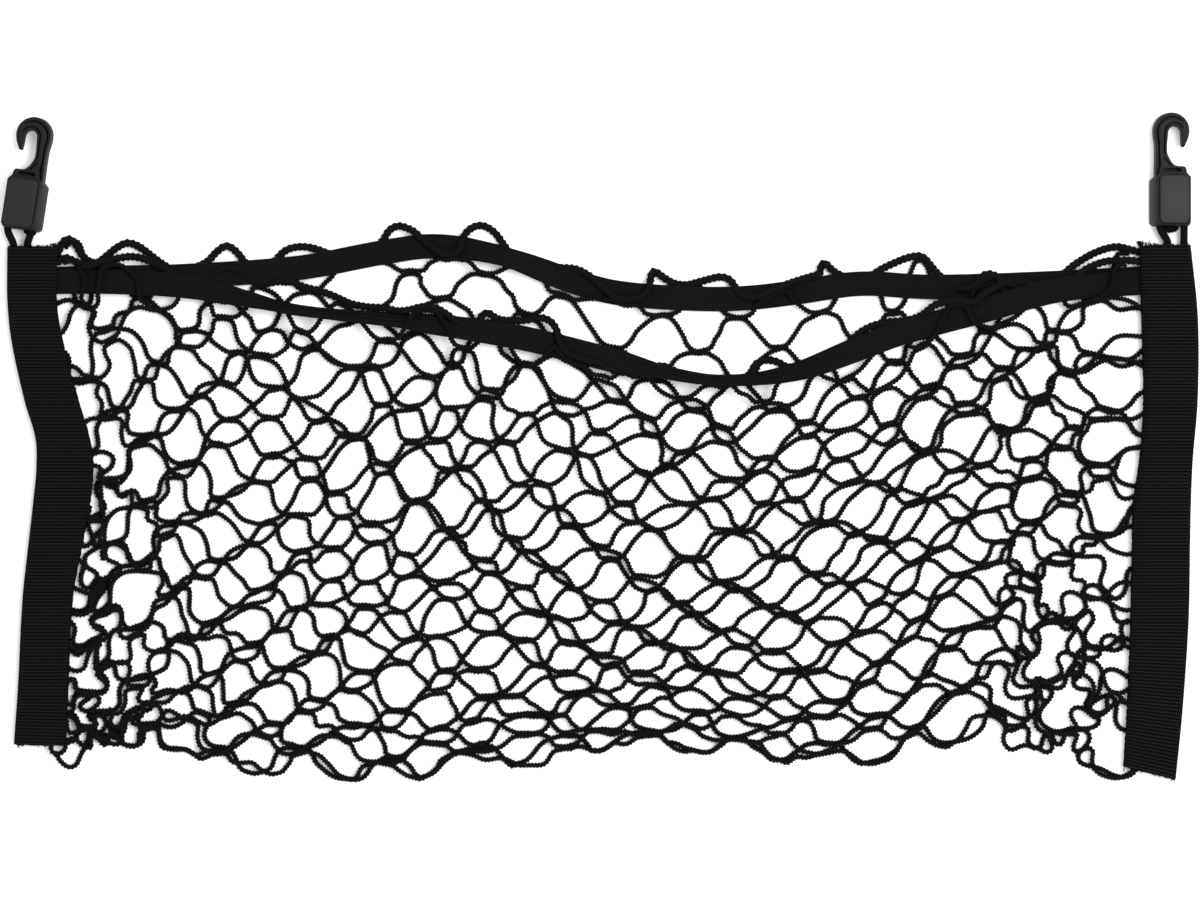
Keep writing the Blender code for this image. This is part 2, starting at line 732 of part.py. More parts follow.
def loop_route(table, hook, mirror):
    """Points of a cord loop: out of the case, round its bight in the binding, and back."""
    place = hook_place(hook, mirror)
    top = table[-1]
    top_y = top[0] * MM
    middle = top[2] * MM - mirror * (WEB_THICKNESS + FIT + LOOP_DIAMETER / 2 + LOOP_BEND)
    legs = []
    for leg in (-LOOP_LEG, LOOP_LEG):
        inside = place @ Vector((leg, LOOP_TUCK, 0))
        outside = place @ Vector((leg, -1.5 * MM, 0))
        x = middle + math.copysign(LOOP_BEND, leg)
        legs.append([
            inside,
            inside.lerp(outside, 0.6),
            outside,
            Vector((x, top_y + 1.5 * MM, LOOP_LEVEL)),
            Vector((x, top_y - 7 * MM, LOOP_LEVEL)),
            Vector((x, top_y - LOOP_DEPTH + LOOP_BEND, LOOP_LEVEL)),
        ])
    centre = (middle, top_y - LOOP_DEPTH + LOOP_BEND)
    bight = [Vector((x, y, LOOP_LEVEL)) for x, y in arc(centre, LOOP_BEND, 180, 360, 6)]
    return legs[0][:-1] + bight + legs[1][-2::-1]


def make_loop(name, route, look):
    """Shock cord along its route, as a curve with round section and closed ends."""
    curve = bpy.data.curves.new(name, "CURVE")
    curve.dimensions = "3D"
    curve.bevel_depth = LOOP_DIAMETER / 2
    curve.bevel_resolution = 2
    curve.use_fill_caps = True
    spline = curve.splines.new("POLY")
    spline.points.add(len(route) - 1)
    for point, place in zip(spline.points, route):
        point.co = (*place, 1.0)
    spline.use_smooth = True
    curve.materials.append(look)
    made = bpy.data.objects.new(name, curve)
    bpy.context.scene.collection.objects.link(made)
    return made


def main():
    for old in list(bpy.data.objects):
        bpy.data.objects.remove(old)
    cord = material("net cord", (0.010, 0.010, 0.011), 0.85)
    webbing = material("webbing", (0.012, 0.012, 0.013), 0.8)
    elastic = material("elastic", (0.010, 0.010, 0.011), 0.75)
    shock_cord = material("shock cord", (0.012, 0.012, 0.013), 0.8)
    plastic = material("hook plastic", (0.035, 0.036, 0.038), 0.5)

    make_net(cord)
    make_binding("binding_left", LEFT_BINDING, webbing)
    make_binding("binding_right", RIGHT_BINDING, webbing)
    make_band("band_front", FRONT_BAND, FRONT_BAND_LEVEL, FRONT_BAND_END_LEVEL, elastic)
    make_band("band_back", BACK_BAND, BACK_BAND_LEVEL, BACK_BAND_END_LEVEL, elastic)
    make_hook("left", LEFT_HOOK, -1, plastic)
    make_hook("right", RIGHT_HOOK, 1, plastic)
    make_loop("loop_left", loop_route(LEFT_BINDING, LEFT_HOOK, -1), shock_cord)
    make_loop("loop_right", loop_route(RIGHT_BINDING, RIGHT_HOOK, 1), shock_cord)


main()
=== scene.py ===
"""Looks of a black envelope cargo net, lying flat on a pale floor.

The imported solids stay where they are. Each is dressed by a finer piece: knitted cord laid in two layers of
knotless meshes, ribbed webbing, flat elastic, braided shock cord and moulded hooks.

Metres, +Z up, +X to the right along the mouth, +Y from the fold towards the mouth. Tables are in
millimetres.
"""

import math
import random

import bmesh
import bpy
import numpy as np
from bpy.props import FloatProperty, FloatVectorProperty, IntProperty, PointerProperty
from mathutils import Matrix, Vector


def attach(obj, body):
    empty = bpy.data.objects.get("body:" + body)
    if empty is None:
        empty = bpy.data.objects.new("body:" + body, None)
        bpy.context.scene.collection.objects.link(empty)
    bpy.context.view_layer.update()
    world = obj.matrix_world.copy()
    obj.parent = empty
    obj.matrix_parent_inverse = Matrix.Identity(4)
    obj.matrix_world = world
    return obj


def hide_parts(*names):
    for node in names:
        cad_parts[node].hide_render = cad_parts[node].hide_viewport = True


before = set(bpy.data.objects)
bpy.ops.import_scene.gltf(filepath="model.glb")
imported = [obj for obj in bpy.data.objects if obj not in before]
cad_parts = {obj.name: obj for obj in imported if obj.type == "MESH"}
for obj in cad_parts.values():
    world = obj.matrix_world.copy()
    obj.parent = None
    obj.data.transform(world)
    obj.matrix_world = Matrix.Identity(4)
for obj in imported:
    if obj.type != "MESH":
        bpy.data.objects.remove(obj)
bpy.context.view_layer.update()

bl_info = {
    "name": "Cargo net",
    "version": (1, 0, 0),
    "blender": (4, 5, 0),
    "location": "3D View > Sidebar > Cargo Net",
    "description": "Builds a black envelope cargo net with its webbing, elastic, cord loops and hooks",
    "category": "Object",
}

MM = 0.001
BODY = "root"

# ---- Tables of places -----------------------------------------------------------------------------------

# One row a place along each binding: y and x of the mouth edge, x of the folded edge, its extra y
LEFT_BINDING = (
    (-151.1, -271.3, -297.4, 1.0),
    (-120.0, -269.8, -295.3, 0.0),
    (-77.0, -267.7, -293.1, 0.0),
    (-50.0, -263.0, -290.2, 0.0),
    (-26.2, -258.6, -287.5, 0.0),
    (-10.0, -257.2, -286.0, 0.0),
    (5.3, -259.1, -286.5, 0.0),
    (24.6, -264.7, -292.1, 0.0),
    (55.1, -272.8, -298.7, 0.0),
    (75.4, -275.8, -300.7, 0.0),
    (102.4, -275.3, -300.7, 0.0),
)
RIGHT_BINDING = (
    (-161.3, 265.7, 292.1, -6.6),
    (-130.0, 267.6, 295.6, -3.0),
    (-87.1, 269.2, 298.7, 0.0),
    (-50.0, 270.0, 299.4, 0.0),
    (-26.2, 270.8, 299.9, 0.0),
    (-5.8, 273.8, 300.8, 0.0),
    (24.6, 275.8, 303.3, 0.0),
    (66.3, 274.8, 303.4, 0.0),
    (103.4, 273.8, 299.7, 0.0),
)

# One row a bend of each band: x and y of its middle line
FRONT_BAND = (
    (-290.0, 84.6), (-245.0, 84.4), (-208.3, 82.0), (-177.8, 75.5), (-152.4, 70.0), (-101.6, 64.8),
    (-71.1, 61.2), (-35.6, 55.2), (10.2, 43.9), (50.8, 35.4), (76.0, 35.0), (101.6, 39.5),
    (127.0, 49.0), (152.4, 58.5), (193.0, 69.5), (233.7, 80.5), (290.0, 85.1),
)
BACK_BAND = (
    (-290.0, 85.8), (-245.0, 86.6), (-208.3, 87.6), (-152.4, 91.7), (-110.0, 99.5), (-83.8, 102.6),
    (-50.8, 98.0), (-12.7, 84.5), (10.2, 78.8), (50.8, 75.9), (76.2, 76.5), (101.6, 79.5),
    (132.1, 83.6), (167.6, 82.0), (223.5, 83.6), (290.0, 87.1),
)
# x, and how far the band is turned about its own length there, in degrees
FRONT_ROLL = (
    (-290, 0), (-235, 0), (-208, 12), (-185, 42), (-165, 62), (-140, 64), (-120, 58), (-100, 54),
    (-86, 34), (-66, 22), (-45, 6), (0, 0), (14, 30), (30, 56), (55, 64), (78, 60), (96, 46),
    (118, 22), (140, 0), (290, 0),
)
BACK_ROLL = ((-290, 0), (-80, 0), (-62, 30), (-45, 38), (-25, 14), (-8, 0), (290, 0))

# One row a wave of the bottom fold: x and y
FOLD = (
    (-290.0, -151.0), (-262.0, -152.0), (-223.5, -147.5), (-195.0, -160.0), (-150.0, -164.5),
    (-104.0, -169.5), (-69.6, -162.5), (-30.0, -158.0), (10.2, -151.5), (44.7, -152.5),
    (75.7, -156.0), (111.8, -161.5), (152.4, -156.5), (187.0, -147.5), (217.0, -151.5),
    (245.0, -162.0), (290.0, -155.0),
)

# The thick edge cord of each layer, from the left binding to the right one: x and y
FRONT_EDGE = (
    (-281.9, 91.7), (-274.8, 94.7), (-271.3, 96.8), (-265.7, 94.7), (-260.1, 92.7), (-253.0, 94.2),
    (-244.9, 96.3), (-236.7, 97.3), (-228.6, 95.2), (-221.0, 91.2), (-213.4, 87.6), (-205.7, 86.6),
    (-197.1, 88.6), (-190.0, 91.7), (-183.9, 90.7), (-177.8, 86.6), (-171.7, 83.6), (-164.6, 84.6),
    (-157.5, 85.1), (-150.4, 82.0), (-142.2, 80.0), (-134.1, 77.0), (-126.0, 73.4), (-117.9, 71.9),
    (-109.7, 71.4), (-102.6, 69.8), (-96.5, 70.4), (-90.4, 71.9), (-84.8, 71.9), (-78.7, 68.8),
    (-73.2, 64.8), (-67.6, 62.2), (-62.5, 63.2), (-59.9, 67.3), (-56.9, 68.8), (-51.8, 65.8),
    (-44.7, 64.8), (-36.6, 65.3), (-30.0, 66.3), (-24.9, 64.3), (-21.8, 59.7), (-20.3, 53.6),
    (-16.8, 48.5), (-8.1, 45.0), (0.0, 43.4), (7.6, 39.4), (19.3, 38.4), (27.9, 41.4),
    (34.0, 41.4), (41.7, 37.3), (52.3, 34.8), (62.0, 33.8), (72.1, 35.3), (76.7, 38.4),
    (79.2, 42.9), (84.3, 45.0), (90.4, 43.9), (95.0, 41.4), (101.1, 41.4), (106.7, 42.4),
    (114.8, 43.9), (122.4, 49.0), (127.5, 54.6), (133.1, 59.7), (139.7, 62.7), (147.3, 64.3),
    (154.9, 64.8), (162.6, 67.3), (169.2, 72.4), (175.3, 74.4), (182.9, 74.9), (189.0, 73.9),
    (192.0, 75.9), (198.1, 80.5), (207.3, 84.6), (216.4, 84.1), (225.6, 80.5), (233.7, 81.5),
    (239.8, 85.6), (246.9, 91.2), (256.0, 94.7), (264.7, 95.2), (270.8, 95.2), (277.9, 93.7),
)
BACK_EDGE = (
    (-281.9, 94.7), (-275.8, 98.3), (-273.3, 103.4), (-270.3, 106.4), (-266.7, 104.4), (-262.1, 97.3),
    (-256.0, 94.2), (-250.4, 97.8), (-245.4, 101.9), (-239.8, 104.4), (-233.7, 102.4), (-227.6, 97.8),
    (-222.0, 93.7), (-215.4, 90.2), (-207.8, 91.2), (-199.6, 94.7), (-194.6, 99.8), (-189.5, 102.9),
    (-184.4, 99.8), (-178.3, 92.7), (-170.7, 90.7), (-165.6, 94.7), (-160.0, 100.3), (-153.4, 102.4),
    (-146.3, 101.9), (-138.7, 99.3), (-132.1, 96.8), (-125.0, 96.3), (-118.9, 98.3), (-113.3, 101.3),
    (-109.7, 106.4), (-106.7, 111.0), (-101.6, 113.0), (-95.0, 110.5), (-90.4, 106.4), (-85.9, 102.4),
    (-79.8, 98.8), (-73.7, 98.8), (-70.6, 102.9), (-68.6, 108.5), (-64.0, 112.5), (-58.9, 113.0),
    (-53.3, 109.5), (-48.8, 103.4), (-43.7, 96.8), (-37.6, 92.7), (-27.9, 90.2), (-21.3, 91.7),
    (-12.7, 91.2), (-6.1, 88.1), (0.0, 83.1), (5.6, 78.0), (12.7, 75.4), (19.3, 76.5),
    (24.4, 80.5), (25.9, 87.1), (27.4, 90.2), (30.5, 88.1), (37.1, 84.1), (43.7, 83.1),
    (50.3, 84.6), (60.5, 87.1), (66.0, 85.6), (69.1, 81.0), (72.6, 77.5), (79.8, 77.0),
    (87.4, 80.0), (97.0, 84.1), (106.7, 87.1), (111.3, 88.6), (112.3, 92.7), (114.3, 94.2),
    (117.3, 91.2), (121.9, 88.1), (129.5, 86.1), (137.2, 87.6), (142.2, 90.7), (148.3, 93.7),
    (156.0, 96.8), (162.1, 97.8), (165.6, 95.8), (169.7, 90.7), (174.2, 86.1), (178.8, 82.0),
    (185.9, 81.0), (189.5, 82.5), (192.5, 86.1), (196.6, 88.6), (201.7, 87.1), (208.3, 83.6),
    (217.4, 80.5), (226.1, 82.5), (233.7, 87.1), (240.8, 93.2), (251.0, 99.3), (261.6, 102.4),
    (269.7, 100.8), (276.9, 98.8),
)
# Joints of the mesh on the edge cord: x, and 1 where the cord lies over the band there
FRONT_HUNG = (
    (-272.5, 0), (-249.9, 1), (-208.3, 0), (-171.7, 0), (-129.5, 0), (-88.0, 1), (-52.3, 0), (-18.8, 1),
    (20.3, 0), (63.5, 0), (101.6, 0), (147.3, 0), (180.3, 1), (226.0, 0), (265.2, 1),
)
BACK_HUNG = (
    (-272.5, 0), (-254.5, 0), (-210.8, 0), (-170.7, 0), (-126.0, 0), (-76.7, 1), (-35.6, 0), (11.2, 1),
    (47.2, 0), (90.0, 1), (133.1, 0), (165.0, 0), (196.0, 1), (232.0, 0), (268.2, 0),
)
# x of the joints of the row below, and of the columns of joints halfway down and at the bottom
FRONT_FIRST = (
    -261.0, -229.0, -190.0, -150.6, -108.8, -70.2, -35.6, 0.8, 41.9, 82.6, 124.5, 163.8, 203.2, 245.6,
)
BACK_FIRST = (
    -264.2, -232.7, -190.5, -148.8, -95.5, -58.9, -18.8, 31.0, 69.1, 112.8, 149.0, 181.0, 214.0, 250.0,
)
MIDDLE = (-262, -249, -217, -178, -138, -99, -60, -21, 19, 63, 108.5, 154, 197, 233, 267)
BOTTOM = (-268, -256, -230, -191, -150.6, -108, -64.8, -21.6, 22.8, 68.5, 114.3, 159, 202, 236, 264)

# How far the rows between mouth and fold sag, along the net: x in mm, and the share of the net's height
SAG = (
    (-290, 0.11), (-250, 0.10), (-205, 0.06), (-150, 0.015), (-100, 0.02), (-50, 0.04), (0, 0.06),
    (50, 0.055), (90, 0.035), (130, 0.015), (170, 0.005), (225, 0.0), (260, -0.01), (290, -0.03),
)
# Spare cord between joints along the net, as a share of the way between them
SPARE = (
    (-290, 0.42), (-245, 0.34), (-205, 0.13), (-130, 0.085), (-60, 0.075), (60, 0.06), (160, 0.065),
    (215, 0.13), (255, 0.24), (290, 0.36),
)
# How the rows are spaced, as shares of the way down: even steps, gathered rows, and those on the right
ROW_PLACES = ((0.0, 0.45, 0.82, 1.0), (0.0, 0.475, 0.87, 1.0), (0.0, 0.45, 0.83, 1.0))

# ---- Sizes ----------------------------------------------------------------------------------------------

MESHES = 14                        # across
ROWS = 17                          # rows of joints from the first below the mouth down to the fold
BAR_POINTS = 3                     # of each cord along a joint
BAR_STEP = 2.0 * MM
STRAND_STEPS = 10
STRAND_LENGTH = 24.3 * MM          # of cord between two joints
JOINT_SPACE = 0.66 * MM            # from a joint's middle to either of its two cords
EDGE_DEPTH = 6.0 * MM
BAND_TUCK = 4.5 * MM
BAND_WIDTH = 12.5 * MM
BAND_THICKNESS = 1.0 * MM
HALF_SPAN = 275.0 * MM
SIDES = 5                          # of a net cord's section
STITCH_BULGE = (1.0, -0.5, -1.0, 0.6, -0.6)

# Heights of the middles of the layers
BACK_LEVEL = 1.6 * MM
FRONT_LEVEL = 3.95 * MM
BACK_BAND_LEVEL = 3.4 * MM
FRONT_BAND_LEVEL = 7.2 * MM
BAND_CLEARANCE = 1.9 * MM          # between a band's middle and a cord's that crosses it
BAND_REACH = 7.2 * MM              # cords keep their level over or under a band this far from its middle
BAND_SLOPE = 9.0 * MM              # and come back to their layer's level within this
LOWEST_MIDDLE = 1.75 * MM          # of a cord that passes under a band
# Levels of the front and the back: at the fold, and of cords, edge cords and bands inside the bindings
FOLD_LEVELS = (3.0 * MM, 1.6 * MM)
TUCKED_LEVELS = (4.4 * MM, 2.45 * MM)
EDGE_TUCKED_LEVELS = (4.3 * MM, 2.6 * MM)
BAND_END_LEVELS = (4.2 * MM, 2.6 * MM)

# How unevenly the joints lie, along x and y
JITTER = (3.8, 2.8)
DRIFT = (8.5, 6.5)                 # of the back layer from the front one
SWAY = (3.6, 3.0)
WANDER = 0.36 * MM                 # of each cord off its smooth line

# Stitches and frayed yarns
STITCH_INSET = 2.9 * MM            # from the mouth
STITCH_PITCH = 3.2 * MM
STITCH_SHAPE = ((0.0, -0.4), (0.5, 0.1), (1.3, 0.16), (2.1, 0.1), (2.6, -0.4))  # along, and up
FRAYS = ((-1, 1.0, 64, 1.9), (0, -1.0, 20, 0.8))  # row of the table, way out, how many, how they gather
FRAY_THICKNESS = 0.46 * MM

# Shock cord loops and hooks, close to the solids
LOOP_LEG = 6.3 * MM
LOOP_DEPTH = 20.0 * MM
# From a loop's middle to each leg, where they enter the webbing
LOOP_ENTRIES = {-1: 3.2 * MM, 1: 3.9 * MM}
LOOP_BEND = 4.1 * MM               # radius of the bight inside the webbing
LOOP_TUCK = 7.0 * MM
LOOP_POINTS = 40
BINDING_HEIGHT = 6.8 * MM
BINDING_CORNER = 2.6 * MM
WEB_THICKNESS = 1.2 * MM
CASE_WIDTH = 21.6 * MM
CASE_TOP_WIDTH = 17.6 * MM
CASE_LENGTH = 27.2 * MM
CASE_CUT = 2.1 * MM
CASE_BACK_LENGTH = 25.2 * MM
CASE_THICKNESS = 11.0 * MM
CASE_BEVEL = 0.8 * MM
FIT = 0.3 * MM
LOOP_DIAMETER = 3.8 * MM
COVER_WIDTH = 15.3 * MM
COVER_LENGTH = 24.6 * MM
COVER_SHIFT = 0.4 * MM
COVER_SEAT = 1.0 * MM
COVER_PROUD = 0.7 * MM
# Where the hooks lie, how far they lean and how far they are rolled over
LEFT_HOOK = (-294.3 * MM, 110.9 * MM, math.radians(8.8), math.radians(8.0))
RIGHT_HOOK = (289.9 * MM, 112.6 * MM, 0.0, math.radians(5.0))


# ---- Reading the tables ---------------------------------------------------------------------------------

def mix(a, b, f):
    return a + (b - a) * f


def ease(f):
    """A smooth step from 0 to 1."""
    f = np.clip(f, 0.0, 1.0)
    return f * f * (3 - 2 * f)


def smooth(table, at, column=1):
    """Read a column of a table, in metres, on a smooth curve through its rows. Works on arrays."""
    places = np.array([row[0] for row in table]) * MM
    values = np.array([row[column] for row in table]) * MM
    at = np.asarray(at, float)
    k = np.clip(np.searchsorted(places, at, side="right") - 1, 0, len(table) - 2)
    slopes = np.empty_like(values)
    slopes[1:-1] = (values[2:] - values[:-2]) / (places[2:] - places[:-2])
    slopes[0] = (values[1] - values[0]) / (places[1] - places[0])
    slopes[-1] = (values[-1] - values[-2]) / (places[-1] - places[-2])
    span = places[k + 1] - places[k]
    f = np.clip((at - places[k]) / span, 0.0, 1.0)
    start = (2 * f**3 - 3 * f**2 + 1) * values[k] + (f**3 - 2 * f**2 + f) * span * slopes[k]
    end = (3 * f**2 - 2 * f**3) * values[k + 1] + (f**3 - f**2) * span * slopes[k + 1]
    return start + end


def plain(table, at, column=1):
    """Read a column of a table straight between its rows. Places are in metres, values as they stand."""
    return np.interp(at, [row[0] * MM for row in table], [row[column] for row in table])


def steepness(table, x):
    """Angle of a curve at x."""
    step = 2 * MM
    return np.arctan2(smooth(table, x + step) - smooth(table, x - step), 2 * step)


def mouths(y):
    """x of both bindings' inner edges."""
    return smooth(LEFT_BINDING, y), smooth(RIGHT_BINDING, y)


def band_height(front, x, off):
    """Height of the middle of a band's cloth at a distance off its middle line, with its roll."""
    roll = np.radians(plain(FRONT_ROLL if front else BACK_ROLL, x))
    level = FRONT_BAND_LEVEL if front else BACK_BAND_LEVEL
    half = BAND_WIDTH / 2
    middle = np.maximum(level, np.sin(roll) * half + 1.2 * MM)
    return middle - np.tan(roll) * np.clip(off, -half * np.cos(roll), half * np.cos(roll))


# ---- Meshes ---------------------------------------------------------------------------------------------

def add_mesh(name, points, faces, uv=None, slot=None, look=None, replaced=()):
    """A finished piece from arrays, riding on the net. uv has one pair for each corner of each face."""
    mesh = bpy.data.meshes.new(name)
    mesh.from_pydata(np.asarray(points).tolist(), [], faces.tolist() if hasattr(faces, "tolist") else faces)
    mesh.shade_smooth()
    if uv is not None:
        layer = mesh.uv_layers.new(name="UVMap")
        layer.data.foreach_set("uv", np.asarray(uv, np.float32).ravel())
    mesh.validate()
    made = bpy.data.objects.new(name, mesh)
    bpy.context.scene.collection.objects.link(made)
    return finished(made, look, replaced)


def finished(made, look, replaced=()):
    if look is not None:
        made.data.materials.clear()
        made.data.materials.append(look)
    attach(made, BODY)
    if replaced:
        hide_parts(*replaced)
    return made


def tube_faces(rings, sides, start=0):
    """Quads between successive rings, and the ring and side number of each corner."""
    ring = np.arange(rings - 1)[:, None]
    side = np.arange(sides)[None, :]
    a = start + ring * sides + side
    b = start + ring * sides + (side + 1) % sides
    quads = np.stack([a, b, b + sides, a + sides], axis=-1).reshape(-1, 4)
    side, ring = side + 0 * ring, ring + 0 * side
    across = np.stack([side, side + 1, side + 1, side], -1)
    along = np.stack([ring, ring, ring + 1, ring + 1], -1)
    return quads, across.reshape(-1, 4), along.reshape(-1, 4)


def run_of(points):
    """Length of the way along points, up to each of them."""
    return np.concatenate([[0], np.cumsum(np.linalg.norm(np.diff(points, axis=0), axis=1))])


def softened(values, rounds):
    """Smooth a row of values in place, but for its two ends."""
    for _ in range(rounds):
        values[1:-1] = (values[:-2] + 2 * values[1:-1] + values[2:]) / 4
    return values


def resample(points, step):
    """Points at an even step on a smooth curve through the given ones."""
    p = np.asarray(points, float)
    padded = np.vstack([2 * p[0] - p[1], p, 2 * p[-1] - p[-2]])
    f = np.linspace(0, 1, 5)[:-1][None, :, None]
    a, b, c, d = (padded[i:len(p) - 1 + i][:, None, :] for i in range(4))
    square, cube = 2 * a - 5 * b + 4 * c - d, 3 * b - a - 3 * c + d
    fine = 0.5 * (2 * b + (c - a) * f + square * f**2 + cube * f**3)
    fine = np.vstack([fine.reshape(-1, p.shape[1]), p[-1:]])
    length = run_of(fine[:, :3])
    count = max(int(round(length[-1] / step)), 2)
    at = np.linspace(0, length[-1], count + 1)
    return np.stack([np.interp(at, length, fine[:, k]) for k in range(fine.shape[1])], axis=1), at


def rope(lines, width, thickness, step, sides, bulge, depth, seed):
    """Round cords along lines of points. Every second ring bulges where the one before it dips, as knitted
    or braided cord does. A line's fourth column, if any, scales the thickness."""
    points, faces, uvs = [], [], []
    start = 0
    angles = np.pi * (0.1 if sides == 5 else 0.0) + 2 * np.pi * np.arange(sides) / sides
    bulge = np.asarray(bulge)
    chance = np.random.default_rng(seed)
    for line in lines:
        p, at = resample(line, step)
        flat = p[:, 3:4] if p.shape[1] > 3 else np.ones((len(p), 1))
        p = p[:, :3]
        along = np.gradient(p, axis=0)
        along /= np.linalg.norm(along, axis=1, keepdims=True)
        side = np.cross((0.0, 0.0, 1.0), along)
        side /= np.linalg.norm(side, axis=1, keepdims=True)
        over = np.cross(along, side)
        sign = np.where(np.arange(len(p)) % 2, -1.0, 1.0)[:, None]
        size = 1 + depth * sign * bulge[None, :] + chance.normal(0, 0.018, (len(p), 1))
        size[[0, -1]] *= 0.55
        across = np.cos(angles)[None, :, None] * size[..., None] * side[:, None, :] * width / 2
        rise = np.sin(angles)[None, :, None] * size[..., None] * over[:, None, :] * thickness / 2
        ring = p[:, None, :] + across + rise * flat[:, :, None]
        points.append(ring.reshape(-1, 3))
        quads, u, v = tube_faces(len(p), sides, start)
        faces.append(quads)
        girth = np.pi * (width + thickness) / 2
        uvs.append(np.stack([u * girth / sides, at[v]], axis=-1))
        start += len(p) * sides
    return np.vstack(points), np.vstack(faces), np.vstack(uvs)


# ---- The mesh of the net --------------------------------------------------------------------------------

class Layer:
    """One layer of the net: joints in rows, and one long cord in zigzag between each two rows."""

    def __init__(self, front):
        self.front = front
        self.back = int(not front)
        self.band = FRONT_BAND if front else BACK_BAND
        self.edge = FRONT_EDGE if front else BACK_EDGE
        self.hung = FRONT_HUNG if front else BACK_HUNG
        self.first = FRONT_FIRST if front else BACK_FIRST
        self.base = FRONT_LEVEL if front else BACK_LEVEL
        self.chance = random.Random(11 if front else 29)

    def in_plan(self, row, index):
        """x and y of a joint before the cords settle."""
        across = (index + 0.5 * (row % 2)) / MESHES
        if row == 0:
            x = self.hung[index][0] * MM
            return x, float(smooth(self.edge, x))
        knots = [0.0] + [(i + 0.5) / MESHES for i in range(MESHES)] + [1.0]
        places = [self.hung[0][0], *self.first, self.hung[-1][0]]
        x_top = float(np.interp(across, knots, places)) * MM
        x_middle = float(np.interp(across * MESHES, range(MESHES + 1), MIDDLE)) * MM
        x_low = float(np.interp(across * MESHES, range(MESHES + 1), BOTTOM)) * MM
        down = (row - 1) / (ROWS - 1)
        x = mix(x_top, x_middle, float(ease(down / 0.5)))
        x = mix(x, x_low, float(ease((down - 0.4) / 0.6)))
        lean = 1 / math.cos(float(steepness(self.band, x)))
        own = random.Random(500 * row + index + (0 if self.front else 90000))
        top = float(smooth(self.band, x)) - (10.2 * MM + own.uniform(-1.0, 3.4) * MM) * lean
        gathered = float(np.interp(down, ROW_PLACES[0], ROW_PLACES[1]))
        even = float(np.interp(down, ROW_PLACES[0], ROW_PLACES[2]))
        settled = mix(gathered, even, float(ease((x - 120 * MM) / (80 * MM))))
        settled += float(plain(SAG, x)) * math.sin(math.pi * down)
        y = mix(top, float(smooth(FOLD, x)), settled)
        if index in (0, MESHES) and row % 2 == 0:
            left, right = mouths(y)
            return (float(left) - EDGE_DEPTH if index == 0 else float(right) + EDGE_DEPTH), y
        common = random.Random(700 * row + index)
        parted = max(ease((x + 150 * MM) / (110 * MM)), ease((y + 30 * MM) / (50 * MM)))
        apart = 0.25 + 0.75 * float(parted)
        strength = 1.0 if row > 1 else 0.35
        if row == ROWS:
            strength, own = 0.5, common
        calm = float(ease((x - 10 * MM) / (50 * MM)) * ease((195 * MM - x) / (30 * MM)))
        strength *= 1.0 - 0.55 * calm
        x, y = (
            place + strength * MM * mix(common.uniform(-size, size), own.uniform(-size, size), apart)
            for place, size in zip((x, y), JITTER)
        )
        if not self.front:
            inside = min(x - float(mouths(y)[0]), float(mouths(y)[1]) - x)
            free = float(ease(5 * down)) * float(ease(6.5 * (1 - down)))
            drift = free * MM * (0.45 + 0.55 * apart) * float(ease(inside / (45 * MM)))
            x += (DRIFT[0] - 1.5 * calm) * drift
            y += (DRIFT[1] - 2.5 * calm) * drift
        phase = 0.0 if self.front else 1.9 * apart
        sway = math.sin(math.pi * down) * MM * (1.0 if apart > 0.6 else 0.7) * (1.0 - 0.5 * calm)
        x += sway * SWAY[0] * math.sin(x * 31 + phase) * math.cos(y * 23 + 2 * phase)
        y += sway * SWAY[1] * math.sin(x * 24 + 1.3 + 2 * phase) * math.cos(y * 29 + phase)
        return x, y

    def slope(self, row, index):
        """Angle of a row of joints at one of them."""
        last = MESHES if row % 2 == 0 else MESHES - 1
        x0, y0 = self.in_plan(row, max(index - 1, 0))
        x1, y1 = self.in_plan(row, min(index + 1, last))
        return math.atan2(y1 - y0, x1 - x0)

    def looseness(self, x, y):
        """How much longer than the way between two joints a cord may be."""
        left = ease((-225 * MM - x) / (25 * MM)) * ease((20 * MM - y) / (40 * MM))
        right = ease((x - 185 * MM) / (35 * MM)) * ease((-45 * MM - y) / (30 * MM))
        return 1.0 + float(plain(SPARE, x)) + float(max(0.35 * left, 1.1 * right))

    def lay_out(self):
        """Every cord's points before they settle, with the lengths between them."""
        self.points, self.rests, self.stiff, self.chains = [], [], [], []
        self.bars, self.pinned = {}, []
        for row in range(ROWS):
            turns = (row, row + 1) if row % 2 == 0 else (row + 1, row)
            stops = [(turn, i) for i in range(MESHES + 1) for turn in turns]
            self.run_cord(row, stops[:-1])
        self.points = np.array(self.points)
        self.rests = np.array(self.rests)
        self.stiff = np.array(self.stiff)

